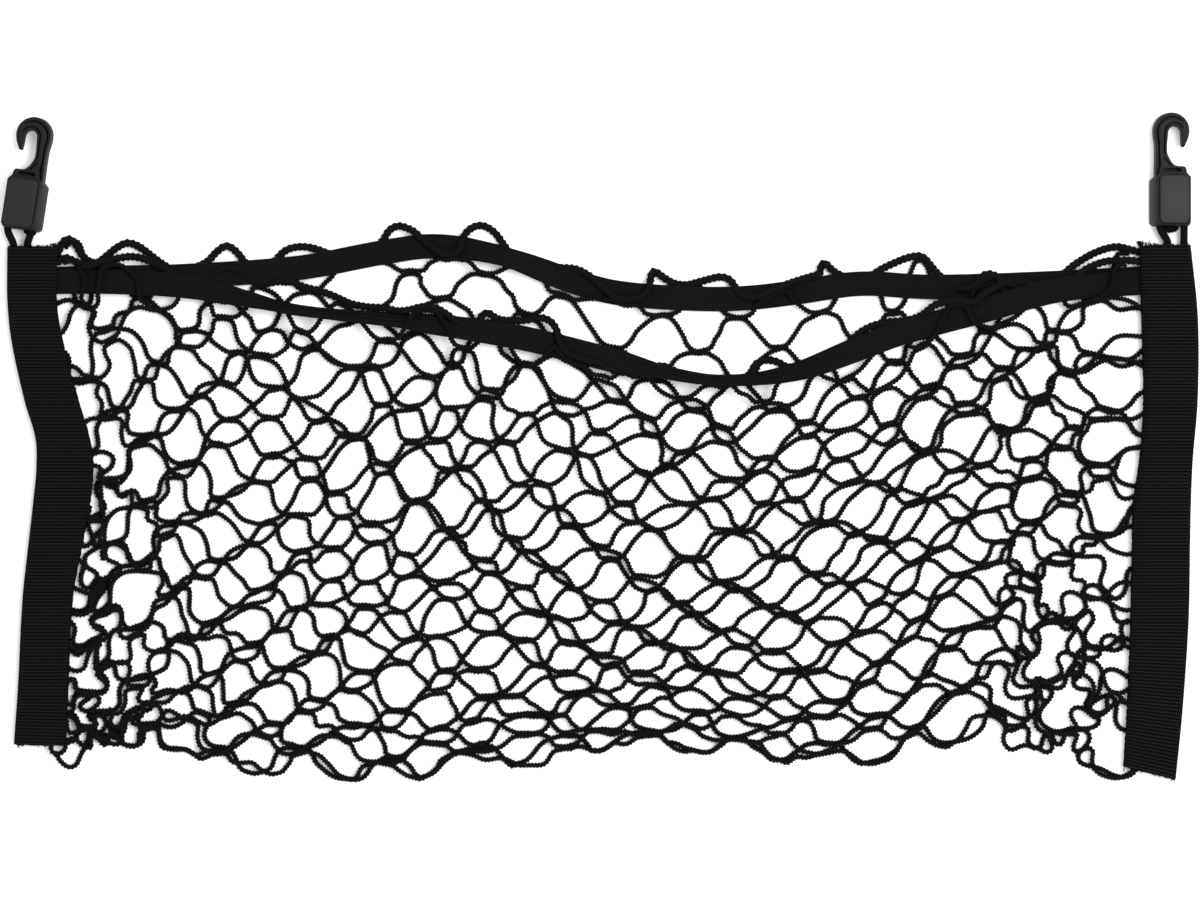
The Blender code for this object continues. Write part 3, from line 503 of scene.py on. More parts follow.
    def run_cord(self, chain, stops):
        """One long cord past its joints, with free cord between each two."""
        first = len(self.points)
        exit_place = None
        for stop in stops:
            row, index = stop
            x, y = self.in_plan(row, index)
            middle = np.array((x, y))
            side = 1.0 if row > chain else -1.0
            edge = row % 2 == 0 and row > 0 and index in (0, MESHES)
            if edge:
                middle[1] += side * self.chance.uniform(2.0, 7.0) * MM
                middle[0] += self.chance.uniform(-2.0, 2.0) * MM
            leaning = ease((x + 265 * MM) / (30 * MM)) * ease((-90 * MM - x) / (60 * MM))
            lean = 20 * float(leaning * ease(-y / (50 * MM)))
            turn = self.slope(row, index) + math.radians(lean + self.chance.uniform(-10, 10))
            if row == 0:
                turn = float(steepness(self.edge, x))
            if row == ROWS:
                turn = float(steepness(FOLD, x))
            along = np.array((math.cos(turn), math.sin(turn)))
            aside = np.array((-along[1], along[0])) * side
            gap = 0.0 if row == ROWS else (2.3 * MM if row == 0 else JOINT_SPACE)
            count = 1 if edge else BAR_POINTS
            step = BAR_STEP * (0.75 if row == 0 else 1.0)
            bar = [middle + aside * gap + along * step * (k - (count - 1) / 2) for k in range(count)]
            if exit_place is not None:
                self.add_strand(exit_place, bar[0])
            ids = []
            for k, place in enumerate(bar):
                ids.append(len(self.points))
                self.points.append(place)
                self.rests.append(step if k < count - 1 else 0.0)
                self.stiff.append(0.3 if count > 1 else 0.0)
            self.bars.setdefault(stop, {})[side] = ids
            if edge or row == 0:
                self.pinned += ids
            exit_place = bar[-1]
        self.chains.append((first, len(self.points)))

    def add_strand(self, start, end):
        """The free cord between two joints, bowed by its spare length."""
        reach = end - start
        distance = float(np.linalg.norm(reach))
        x, y = (start + end) / 2
        length = STRAND_LENGTH * self.chance.uniform(0.95, 1.06)
        loose = self.looseness(x, y)
        length = min(max(length, (1 + 0.4 * (loose - 1)) * distance), loose * distance)
        aside = np.array((-reach[1], reach[0])) / distance
        bow = math.sqrt(max(length**2 - distance**2, 0.0)) * 0.55 * self.chance.choice((-1, 1))
        waves = 1 if self.chance.random() < 0.6 else 2
        rest = length / STRAND_STEPS
        self.rests[-1] = rest
        for k in range(1, STRAND_STEPS):
            f = k / STRAND_STEPS
            wave = math.sin(math.pi * waves * f)
            self.points.append(start + reach * f + aside * bow * wave / waves)
            self.rests.append(rest)
            self.stiff.append(0.06)

    def settle(self, rounds=260):
        """Let the cords find their lengths and curves, held by the joints."""
        p = self.points
        home = p.copy()
        ends = {last - 1 for _, last in self.chains}
        links = np.array([i for i in range(len(p) - 1) if i not in ends])
        halves = [links[links % 2 == 0], links[links % 2 == 1]]
        inner = np.array([i for a, b in self.chains for i in range(a + 1, b - 1)])
        stiff = self.stiff[inner][:, None]
        held = np.array(sorted(set(self.pinned)))
        both = [(sides[1.0], sides[-1.0]) for sides in self.bars.values()
                if len(sides) == 2 and len(sides[1.0]) == BAR_POINTS]
        upper = np.array([a for a, _ in both])
        lower = np.array([b for _, b in both])
        folded = np.array([sides[1.0] for (row, _), sides in self.bars.items() if row == ROWS])
        aim = (home[upper].mean(1) + home[lower].mean(1)) / 2
        for k in range(rounds):
            for half in halves:
                d = p[half + 1] - p[half]
                size = np.linalg.norm(d, axis=1)
                push = (0.5 * (size - self.rests[half]) / np.maximum(size, 1e-9))[:, None] * d
                p[half] += push
                p[half + 1] -= push
            bend = ((p[inner - 1] + p[inner + 1]) / 2 - p[inner]) * stiff
            p[inner] += bend
            p[inner - 1] -= bend / 2
            p[inner + 1] -= bend / 2
            middle = (p[upper] + p[lower]) / 2
            along = middle[:, -1] - middle[:, 0]
            along /= np.linalg.norm(along, axis=1, keepdims=True)
            aside = np.stack([-along[:, 1], along[:, 0]], axis=1)[:, None, :] * JOINT_SPACE
            drift = (aim - middle.mean(1))[:, None, :] * 0.03
            p[upper] = middle + aside + drift
            p[lower] = middle - aside + drift
            p[folded] += (home[folded].mean(1) - p[folded].mean(1))[:, None, :] * 0.2
            p[held] = home[held]
        self.points = p

    def heights(self, p, row):
        """Height of each point of a cord, over or under the band near the mouth."""
        x, y = p[:, 0], p[:, 1]
        z = np.full(len(p), self.base)
        if row < 2:
            z = self.cross_band(x, y, z)
        if row == ROWS - 1:
            close = ease(1 - (y - smooth(FOLD, x)) / (14 * MM))
            z = mix(z, FOLD_LEVELS[self.back], close)
        return z

    def cross_band(self, x, y, z):
        """Lift or lower a cord's heights where it crosses its layer's band."""
        off = (y - smooth(self.band, x)) * np.cos(steepness(self.band, x))
        share = 1 - ease((np.abs(off) - BAND_REACH) / BAND_SLOPE)
        places = np.array([place for place, _ in self.hung]) * MM
        flags = np.array([float(flag) for _, flag in self.hung])
        k = np.clip(np.searchsorted(places, x) - 1, 0, len(places) - 2)
        f = (x - places[k]) / (places[k + 1] - places[k])
        side = 2 * mix(flags[k], flags[k + 1], ease((f - 0.3) / 0.4)) - 1
        beside = band_height(self.front, x, off) + side * BAND_CLEARANCE
        beside = np.maximum(beside, LOWEST_MIDDLE)
        return mix(z, beside, share)

    def lines(self):
        """Each long cord as points with a height, and a thickness that thins inside the bindings."""
        made = []
        chance = np.random.default_rng(17 if self.front else 18)
        for row, (first, last) in enumerate(self.chains):
            p = self.points[first:last]
            z = self.heights(p, row)
            left, right = mouths(p[:, 1])
            inside = np.minimum(p[:, 0] - left, right - p[:, 0])
            tucked = 1 - ease((inside + 1 * MM) / (9 * MM))
            z = softened(mix(z, TUCKED_LEVELS[self.back], tucked), 2)
            wander = chance.normal(0, WANDER, p.shape)
            wander[1:-1] = (wander[:-2] + 2 * wander[1:-1] + wander[2:]) / 3
            made.append(np.column_stack([p + wander, z, mix(1.0, 0.75, tucked)]))
        return made

    def edge_line(self):
        """The thick cord along the mouth."""
        p = np.array(self.edge) * MM
        p, _ = resample(p, 2.0 * MM)
        z = self.cross_band(p[:, 0], p[:, 1], np.full(len(p), self.base + 0.5 * MM))
        left, right = mouths(p[:, 1])
        inside = np.minimum(p[:, 0] - left, right - p[:, 0])
        tucked = 1 - ease(inside / (8 * MM))
        z = softened(mix(z, EDGE_TUCKED_LEVELS[self.back], tucked), 3)
        return np.column_stack([p, z, mix(1.0, 0.6, tucked)])


def make_layer(settings, front, look):
    """One layer of the net with its thick edge cord."""
    layer = Layer(front)
    layer.lay_out()
    layer.settle()
    side = "front" if front else "back"
    step = settings.knit_pitch / 2
    size = (settings.cord_width, settings.cord_thickness)
    parts = rope(layer.lines(), *size, step, SIDES, STITCH_BULGE, 0.3, 5)
    net = add_mesh(f"net_{side}", *parts, "net_cord", look, ["net"])
    bulge = np.where(np.arange(8) % 2, -1.0, 1.0)
    size = (settings.edge_width, settings.edge_width * 0.8)
    parts = rope([layer.edge_line()], *size, step * 1.5, 8, bulge, 0.17, 7)
    edge = add_mesh(f"edge_cord_{side}", *parts, "net_cord", look, ["net"])
    return net


# ---- Bands and bindings ---------------------------------------------------------------------------------

def closed_strip(ring, along, girth, lengthwise):
    """Points and faces of a strip with closed ends, and its corners' UVs in metres."""
    rings, count = ring.shape[:2]
    quads, u, v = tube_faces(rings, count)
    first = np.arange(count)
    last = (rings - 1) * count
    faces = quads.tolist() + [first[::-1].tolist(), (first + last).tolist()]
    u = np.concatenate([u.ravel(), first[::-1], first])
    v = np.concatenate([v.ravel(), 0 * first, 0 * first + rings - 1])
    pair = (along[v], girth[u]) if lengthwise else (girth[u], along[v])
    return ring.reshape(-1, 3), faces, np.stack(pair, axis=-1).tolist()


def make_band(settings, front, look):
    """Flat elastic, ribbed lengthwise, turned about its length where it rolls."""
    table = FRONT_BAND if front else BACK_BAND
    left = float(mouths(smooth(table, -HALF_SPAN))[0])
    right = float(mouths(smooth(table, HALF_SPAN))[1])
    x = np.arange(left - BAND_TUCK, right + BAND_TUCK, 1.1 * MM)
    inside = np.minimum(x - left, right - x)
    climb = ease((inside - 4 * MM) / (30 * MM))
    roll = softened(np.radians(plain(FRONT_ROLL if front else BACK_ROLL, x)), 8)
    z = mix(BAND_END_LEVELS[int(not front)], band_height(front, x, 0 * x), climb)
    turn = steepness(table, x)
    level_side = np.stack([-np.sin(turn), np.cos(turn), 0 * x], axis=1)
    up = np.array((0.0, 0.0, 1.0))
    sides = level_side * np.cos(roll)[:, None] - up * np.sin(roll)[:, None]
    ups = level_side * np.sin(roll)[:, None] + up * np.cos(roll)[:, None]
    count = 2 * settings.elastic_ribs + 1
    across = np.linspace(-0.5, 0.5, count) * BAND_WIDTH
    ridge = np.where(np.arange(count) % 2, 0.5, 0.34)
    ridge[[0, -1]] = 0.2
    ridge[3] = 0.12
    top = np.stack([across, ridge * BAND_THICKNESS], axis=1)
    profile = np.vstack([top * (1, -1), top[::-1]])
    middles = np.stack([x, smooth(table, x), z], axis=1)
    side = "front" if front else "back"
    ring = middles[:, None, :] + profile[None, :, 0:1] * sides[:, None, :]
    ring = ring + profile[None, :, 1:2] * ups[:, None, :]
    parts = closed_strip(ring, run_of(middles), run_of(np.vstack([profile, profile[:1]])), True)
    band = add_mesh(f"elastic_{side}", *parts, "elastic", look, [f"band_{side}"])
    return band


def binding_profile(width, steps=7):
    """Section of the folded webbing: distance from the mouth, and height, from the lower flap's edge round
    the fold to the upper flap's edge, and back inside."""
    def corner(height, radius, start):
        return arc((width - BINDING_CORNER, height), radius, start, start + 90, 4)

    low, high = BINDING_CORNER, BINDING_HEIGHT - BINDING_CORNER
    inner = BINDING_CORNER - WEB_THICKNESS
    flat = [(width - BINDING_CORNER) * k / steps for k in range(steps)]
    outer = [(a, 0.0) for a in flat] + corner(low, BINDING_CORNER, -90) + corner(high, BINDING_CORNER, 0)
    outer += [(a, BINDING_HEIGHT) for a in reversed(flat)]
    inside = [(0.0, WEB_THICKNESS)] + corner(low, inner, -90) + corner(high, inner, 0)
    inside += [(0.0, BINDING_HEIGHT - WEB_THICKNESS)]
    return np.array(outer), np.array(inside[::-1])


def make_binding(settings, side, table, look):
    """Webbing folded over the net's side edge, with ribs across it, stitched rows and frayed ends."""
    chance = np.random.default_rng(3 if side == "left" else 4)
    outward = -1.0 if side == "left" else 1.0
    pitch = settings.rib_pitch
    y = np.arange(table[0][0] * MM, table[-1][0] * MM, pitch / 4)
    mouth, fold = smooth(table, y), smooth(table, y, 2)
    extra = smooth(table, y, 3)
    rib = np.sin(np.pi * np.mod((y - y[0]) / pitch, 1.0)) ** 0.7
    loose = np.repeat(chance.normal(0, 0.10 * MM, len(y) // 4 + 1), 4)[:len(y)]
    rows = []
    for k in range(len(y)):
        start = np.array((mouth[k], y[k]))
        end = np.array((fold[k], y[k] + extra[k]))
        width = float(np.linalg.norm(end - start))
        direction = (end - start) / width
        outer, inside = binding_profile(width)
        centre = np.array((width - BINDING_CORNER, BINDING_HEIGHT / 2))
        away = outer - np.column_stack([np.minimum(outer[:, 0], centre[0]), np.full(len(outer), centre[1])])
        away /= np.maximum(np.linalg.norm(away, axis=1, keepdims=True), 1e-9)
        height = (rib[k] - 0.75) * settings.rib_height
        outer = outer + away * height
        near = np.exp(-((outer[:, 0] - STITCH_INSET) / (1.3 * MM)) ** 2)
        outer[:, 1] += np.where(outer[:, 1] > centre[1], -0.32, 0.0) * near * MM
        outer[:, 1] = np.maximum(outer[:, 1], 0.0)
        outer[[0, -1], 0] += loose[k] + 0.16 * MM * (rib[k] - 0.5)
        section = np.vstack([outer, inside])
        end_wear = 0.0
        if k < 2 or k > len(y) - 3:
            end_wear = 1.0 if k in (0, len(y) - 1) else 0.4
        worn = chance.normal(0, 0.3 * MM, len(section)) * end_wear
        place = start + direction * section[:, :1]
        rows.append(np.column_stack([place[:, 0], place[:, 1] + worn, section[:, 1]]))
    ring = np.array(rows)
    girth = run_of(np.vstack([ring[0], ring[0][:1]]))
    points, faces, corners = closed_strip(ring, y - y[0], girth, False)
    if outward < 0:
        corners = flipped_corners(faces, corners)
        faces = [face[::-1] for face in faces]
    return add_mesh(f"webbing_{side}", points, faces, corners, "webbing", look, [f"binding_{side}"])


def flipped_corners(faces, corners):
    """Corner values in the order that they have once each face is turned over."""
    turned, start = [], 0
    for face in faces:
        turned += corners[start:start + len(face)][::-1]
        start += len(face)
    return turned


def make_stitches(side, table, look):
    """A row of lock stitches along the webbing's inner edge, on its upper side."""
    outward = -1.0 if side == "left" else 1.0
    lines = []
    y = table[0][0] * MM + 3 * MM
    top = table[-1][0] * MM - 2 * MM
    while y < top:
        x = float(smooth(table, y + 1.3 * MM)) + outward * STITCH_INSET
        z = BINDING_HEIGHT - 0.22 * MM
        lines.append([(x, y + along * MM, z + up * MM) for along, up in STITCH_SHAPE])
        y += STITCH_PITCH
    parts = rope(lines, 0.55 * MM, 0.45 * MM, 0.65 * MM, 6, np.zeros(6), 0.0, 2)
    return add_mesh(f"stitches_{side}", *parts, "webbing", look, [f"binding_{side}"])


def make_frays(side, table, look):
    """Loose yarns at the cut ends of the webbing."""
    chance = random.Random(21 if side == "left" else 22)
    outward = -1.0 if side == "left" else 1.0
    lines = []
    for end, way, many, gather in FRAYS:
        row = table[end]
        for _ in range(many):
            f = chance.random() ** gather
            x = mix(row[1], row[2], f) * MM - outward * 0.3 * MM
            y = (row[0] + f * row[3]) * MM - way * 0.6 * MM
            z = chance.choice((0.6, 6.2)) * MM
            length = chance.uniform(0.8, 1.7) * MM * (1.7 if f < 0.2 or f > 0.95 else 1.0)
            lean = chance.uniform(-0.9, 0.9)
            curl = chance.uniform(-0.8, 0.8) * MM
            lines.append([(x, y, z), (x + lean * length * 0.4, y + way * length * 0.55, z + curl * 0.3),
                          (x + lean * length + curl * 0.5, y + way * length, z + curl * 0.4)])
    parts = rope(lines, FRAY_THICKNESS, FRAY_THICKNESS, 0.5 * MM, 4, np.zeros(4), 0.0, 2)
    return add_mesh(f"frayed_yarns_{side}", *parts, "webbing", look, [f"binding_{side}"])


# ---- Cord loops -----------------------------------------------------------------------------------------

def hook_place(hook, mirror):
    """Matrix from a hook's own frame to where it lies, turned so that it rests on its case's edge."""
    x, y, lean, roll = hook
    low_corner = CASE_WIDTH / 2 - CASE_BEVEL
    lift = CASE_THICKNESS / 2 * math.cos(roll) + low_corner * math.sin(roll)
    turned = Matrix.Rotation(-lean, 4, "Z") @ Matrix.Rotation(roll * mirror, 4, "Y")
    return Matrix.Translation((x, y, lift)) @ turned


def arc(centre, radius, start, stop, steps):
    """Points on an arc, angles in degrees."""
    angles = [math.radians(mix(start, stop, k / steps)) for k in range(steps + 1)]
    return [(centre[0] + radius * math.cos(a), centre[1] + radius * math.sin(a)) for a in angles]


def loop_route(table, hook, mirror):
    """Points of a cord loop: out of the case, round its bight in the binding, and back."""
    place = hook_place(hook, mirror)
    top_y = table[-1][0] * MM
    level = BINDING_HEIGHT / 2
    entry = LOOP_ENTRIES[mirror]
    fold = table[-1][2] * MM - mirror * (WEB_THICKNESS + FIT + LOOP_DIAMETER / 2)
    centre = (fold - mirror * LOOP_BEND, top_y - LOOP_DEPTH + LOOP_BEND)
    legs = []
    for leg in (-LOOP_LEG, LOOP_LEG):
        inside = place @ Vector((leg, LOOP_TUCK, 0))
        outside = place @ Vector((leg, -1.5 * MM, 0))
        x = fold - mirror * entry + math.copysign(entry, leg)
        low = centre[0] + math.copysign(LOOP_BEND, leg)
        legs.append([
            inside, inside.lerp(outside, 0.6), outside, Vector((x, top_y + 1.5 * MM, level)),
            Vector((mix(x, low, 0.7), top_y - 7 * MM, level)), Vector((low, centre[1], level)),
        ])
    bight = [Vector((x, y, level)) for x, y in arc(centre, LOOP_BEND, 180, 360, 12)]
    corners = np.array([tuple(point) for point in legs[0][:-1] + bight + legs[1][-2::-1]])
    along = run_of(corners)
    at = np.linspace(0, along[-1], LOOP_POINTS)
    route = softened(np.stack([np.interp(at, along, corners[:, k]) for k in range(3)], axis=1), 2)
    return [tuple(point) for point in route.tolist()]


def make_loop(settings, side, table, hook, mirror, look):
    """A loop of shock cord with a braided cover."""
    route = loop_route(table, hook, mirror)
    bulge = np.where(np.arange(12) % 2, -1.0, 1.0)
    parts = rope([route], settings.loop_diameter, settings.loop_diameter, 0.55 * MM, 12, bulge, 0.045, 9)
    loop = add_mesh(f"shock_cord_{side}", *parts, "shock_cord", look, [f"loop_{side}"])
    return loop


def make_cord_end(side, hook, mirror, middle, size, look):
    """The loop's knotted end, which shows below the case beside a leg."""
    make = bpy.ops.mesh.primitive_uv_sphere_add
    made = add_primitive(make, f"cord_end_{side}", segments=32, ring_count=18, radius=1)
    edit(True)
    bpy.ops.mesh.select_all(action="SELECT")
    bpy.ops.transform.resize(value=[value * MM for value in size])
    edit(False)
    bpy.ops.object.transform_apply(location=True, rotation=True, scale=True)
    for vertex in made.data.vertices:
        x, y, z = vertex.co / MM
        ripple = 0.16 * math.sin(4.6 * x + 2.2 * z) + 0.1 * math.cos(3.1 * z - 2.0 * x)
        vertex.co = vertex.co * (1 + ripple * 0.5)
    flip = Matrix.Diagonal((mirror, 1, 1, 1))
    made.data.transform(hook_place(hook, mirror) @ flip @ Matrix.Translation(Vector(middle) * MM))
    if mirror < 0:
        made.data.flip_normals()
    bpy.ops.object.shade_smooth()
    return finished(made, look, [f"loop_{side}"])


# ---- Hooks ----------------------------------------------------------------------------------------------

def select_faces(test):
    """In edit mode, select the faces whose middle and normal pass a test, and nothing else."""
    bm = bmesh.from_edit_mesh(bpy.context.object.data)
    bpy.ops.mesh.select_all(action="DESELECT")
    bpy.ops.mesh.select_mode(type="FACE")
    for face in bm.faces:
        face.select = bool(test(face.calc_center_median(), face.normal))
    bmesh.update_edit_mesh(bpy.context.object.data)


def select_edges(test):
    """In edit mode, select the edges whose two ends pass a test, and nothing else."""
    bm = bmesh.from_edit_mesh(bpy.context.object.data)
    bpy.ops.mesh.select_all(action="DESELECT")
    bpy.ops.mesh.select_mode(type="EDGE")
    for edge in bm.edges:
        edge.select = bool(test(edge.verts[0].co, edge.verts[1].co))
    bmesh.update_edit_mesh(bpy.context.object.data)


def pick(made):
    """Make a piece the only selected one."""
    bpy.ops.object.select_all(action="DESELECT")
    bpy.context.view_layer.objects.active = made
    made.select_set(True)


def add_primitive(make, name, **values):
    """A piece from one of the primitive operators, selected alone."""
    bpy.ops.object.select_all(action="DESELECT")
    make(**values)
    made = bpy.context.object
    made.name = name
    return made


def edit(start):
    """Go into edit mode, or out of it."""
    bpy.ops.object.mode_set(mode="EDIT" if start else "OBJECT")


def add_block(name, size, middle):
    """A cube of a size, in metres, around a middle, its sizes applied."""
    made = add_primitive(bpy.ops.mesh.primitive_cube_add, name, size=1)
    bpy.ops.transform.resize(value=size)
    bpy.ops.transform.translate(value=middle)
    bpy.ops.object.transform_apply(location=True, rotation=True, scale=True)
    return made


def combine(made, other, operation):
    """Join another piece to this one or cut it out, and take the other away."""
    pick(made)
    modifier = made.modifiers.new(operation.lower(), "BOOLEAN")
    modifier.operation = operation
    modifier.solver = "EXACT"
    modifier.object = other
    bpy.ops.object.modifier_apply(modifier=modifier.name)
    bpy.data.objects.remove(other, do_unlink=True)


def outline_plate(name, outline, low, high):
    """A plate from a filled circle drawn out to an outline and extruded."""
    make = bpy.ops.mesh.primitive_circle_add
    made = add_primitive(make, name, vertices=len(outline), radius=1 * MM, fill_type="NGON")
    for vertex, (x, y) in zip(made.data.vertices, outline):
        vertex.co = (x, y, low)
    edit(True)
    bpy.ops.mesh.select_all(action="SELECT")
    bpy.ops.mesh.extrude_region_move(TRANSFORM_OT_translate={"value": (0, 0, high - low)})
    bpy.ops.mesh.select_all(action="SELECT")
    bpy.ops.mesh.normals_make_consistent(inside=False)
    edit(False)
    return made


# The arm, a row a station: its back edge's x and y, its throat edge's x and y, the back groove's place
# across it (-1 at the back edge, 1 at the throat), half width and depth, the throat groove's depth, and
# thickness
ARM_STATIONS = (
    (-8.95, 24.0, 0.6, 24.0, -0.52, 0.34, 3.0, 0.0, 1.0),
    (-8.95, 26.5, 0.4, 27.2, -0.54, 0.32, 3.0, 0.0, 1.0),
    (-8.9, 29.5, 0.0, 31.0, -0.58, 0.25, 2.9, 0.0, 1.0),
    (-8.8, 32.5, -1.2, 33.6, -0.57, 0.21, 2.7, 0.0, 1.0),
    (-8.75, 35.0, -2.3, 35.6, -0.54, 0.20, 2.6, 0.0, 1.0),
    (-8.75, 37.2, -2.9, 37.4, -0.50, 0.19, 2.5, 2.2, 1.0),
    (-8.8, 40.4, -2.95, 40.5, -0.48, 0.19, 2.4, 2.2, 1.0),
    (-8.95, 42.0, -2.85, 42.1, -0.48, 0.18, 2.4, 2.2, 1.0),
    (-9.35, 44.4, -2.65, 44.4, -0.50, 0.17, 2.4, 2.2, 1.0),
    (-9.6, 46.5, -2.45, 46.1, -0.54, 0.16, 2.4, 2.2, 1.0),
)
TIP_STATIONS = (
    (8.5, 47.3, 4.6, 46.5, -0.2, 0.1, 0.0, 0.0, 0.98),
    (8.15, 45.4, 4.6, 45.1, -0.2, 0.1, 0.0, 0.0, 0.93),
    (7.75, 44.2, 4.6, 44.0, -0.2, 0.1, 0.0, 0.0, 0.88),
    (7.2, 42.9, 4.6, 42.8, -0.2, 0.1, 0.0, 0.0, 0.8),
    (6.65, 41.6, 4.65, 41.5, -0.2, 0.1, 0.0, 0.0, 0.7),
    (6.2, 40.6, 4.7, 40.6, -0.2, 0.1, 0.0, 0.0, 0.62),
    (5.9, 40.15, 4.9, 40.15, -0.2, 0.1, 0.0, 0.0, 0.5),
)
CROWN_STEPS = 16
CROWN_CENTRE = (-0.55, 48.55)
CROWN_RADIUS = 9.1
THROAT_CENTRE = (1.1, 47.2)
THROAT_RADIUS = 3.5
SHOULDER = (
    (-8.2, 22.5), (7.1, 22.5), (7.1, 28.2), (6.6, 29.6), (6.0, 30.3), (5.2, 30.45), (4.0, 30.4),
    (2.4, 30.5), (1.1, 30.85), (0.2, 31.5), (-0.6, 32.4), (-1.5, 33.5), (-2.3, 34.8), (-2.7, 35.8),
    (-2.95, 37.2), (-3.8, 37.8), (-4.6, 34.4), (-6.4, 30.4),
)
ARM_TOP = 3.5                      # height of the arm's upper face over its middle
# The slot behind the cover and a groove on each face: length, width, depth, middle, and turn in degrees
CUTS = (
    (9.0, 1.9, 6.6, (-0.2, 28.6, 0.45), 0),
    (5.6, 1.1, 4.0, (-3.0, 32.8, 3.3), -49),
    (5.6, 1.1, 4.0, (-3.0, 32.8, -3.3), -49),
)


def arm_section(back, throat, thickness):
    """Half of the arm's section, above its middle: place across and height of each point."""
    points = [(-1.0, 0.0), (-1.0, 2.6), (-0.975, 3.15), (-0.92, 3.42)]
    for place, half, depth in (back, throat):
        for out, down in ((-1, 0), (-0.8, 0.75), (-0.5, 1), (0.5, 1), (0.8, 0.75), (1, 0)):
            points.append((place + out * half, ARM_TOP - down * depth))
    points.insert(10, ((back[0] + back[1] + throat[0] - throat[1]) / 2, ARM_TOP + 0.12))
    points += [(0.8, ARM_TOP), (0.90, 3.4), (0.965, 3.1), (1.0, 2.5), (1.0, 0.0)]
    return [(a, z * thickness) for a, z in points]


def make_arm():
    """The hook's arm: a ring of its section, drawn out along the shank, over the crown and to the tip."""
    stations = list(ARM_STATIONS)
    crown = arc(CROWN_CENTRE, CROWN_RADIUS, 180, 0, CROWN_STEPS)
    hollow = arc(THROAT_CENTRE, THROAT_RADIUS, 180, 0, CROWN_STEPS)
    for k, (outer, inner) in enumerate(zip(crown, hollow)):
        f = k / CROWN_STEPS
        stations.append((
            *outer, *inner, mix(-0.56, -0.14, f), mix(0.17, 0.14, f),
            2.4 * (1 - float(ease((f - 0.62) / 0.16))), 2.2 * (1 - float(ease((f - 0.74) / 0.14))), 1.0,
        ))
    stations += list(TIP_STATIONS)
    count = 2 * len(arm_section((0, 0, 0), (0, 0, 0), 1)) - 2
    make = bpy.ops.mesh.primitive_circle_add
    made = add_primitive(make, "hook arm", vertices=count, radius=1 * MM, fill_type="NGON")
    edit(True)
    bpy.ops.mesh.select_mode(type="VERT")
    bpy.ops.mesh.select_all(action="SELECT")
    for k, (bx, by, tx, ty, place, half, back, throat, thickness) in enumerate(stations):
        if k:
            bpy.ops.mesh.extrude_region_move()
        bm = bmesh.from_edit_mesh(made.data)
        ring = [vertex for vertex in bm.verts if vertex.select]
        above = arm_section((place, half, back), (0.5, 0.14, throat), thickness)
        below = [(a, -z) for a, z in above[1:-1]]
        for vertex, (a, z) in zip(ring, above + below[::-1]):
            f = (a + 1) / 2
            vertex.co = Vector((mix(bx, tx, f), mix(by, ty, f), z)) * MM
        bmesh.update_edit_mesh(made.data)
    bpy.ops.mesh.select_all(action="SELECT")
    bpy.ops.mesh.normals_make_consistent(inside=False)
    edit(False)
    return made


def make_case():
    """The cord case: a drafted block with cut corners and bores for the cord. Its cover's seat is cut later.
    """
    half = CASE_THICKNESS / 2
    case = add_block("hook case", (CASE_WIDTH, CASE_LENGTH, CASE_THICKNESS), (0, CASE_LENGTH / 2, 0))
    edit(True)
    select_faces(lambda middle, normal: normal.z > 0.9)
    bpy.ops.transform.resize(
        value=(CASE_TOP_WIDTH / CASE_WIDTH, 0.982, 1), center_override=(0, CASE_LENGTH, half))
    select_faces(lambda middle, normal: normal.z < -0.9)
    bpy.ops.transform.resize(value=(1, CASE_BACK_LENGTH / CASE_LENGTH, 1), center_override=(0, 0, -half))
    select_edges(lambda a, b: abs(a.z - b.z) > half and min(a.y, b.y) > CASE_LENGTH * 0.8)
    bpy.ops.mesh.bevel(offset=CASE_CUT, segments=1)
    select_edges(lambda a, b: abs(a.z - b.z) > half and max(a.y, b.y) < CASE_LENGTH * 0.2)
    bpy.ops.mesh.bevel(offset=2.4 * MM, segments=5)
    select_edges(lambda a, b: abs(a.z - b.z) < 1e-6 and abs(abs(a.z) - half) < 1e-6)
    bpy.ops.mesh.bevel(offset=0.5 * MM, segments=2)
    edit(False)
    for leg in (-LOOP_LEG, LOOP_LEG):
        bore = add_primitive(
            bpy.ops.mesh.primitive_cylinder_add, "bore", vertices=28, radius=LOOP_DIAMETER / 2 + FIT,
            depth=2 * (LOOP_TUCK + FIT), location=(leg, 0, 0), rotation=(math.pi / 2, 0, 0))
        combine(case, bore, "DIFFERENCE")
    return case


def plate_outline(width, length, cut, corner):
    """A plate's outline with its two upper corners cut and its two lower ones round."""
    x, low, high = width / 2, (CASE_LENGTH - length) / 2, (CASE_LENGTH + length) / 2
    lower = arc((x - corner, low + corner), corner, 0, -90, 5)
    left = [(-px, py) for px, py in lower]
    points = [(-x, high - cut), (-(x - cut), high), (x - cut, high), (x, high - cut)] + lower + left[::-1]
    return [(px + COVER_SHIFT, py) for px, py in points]


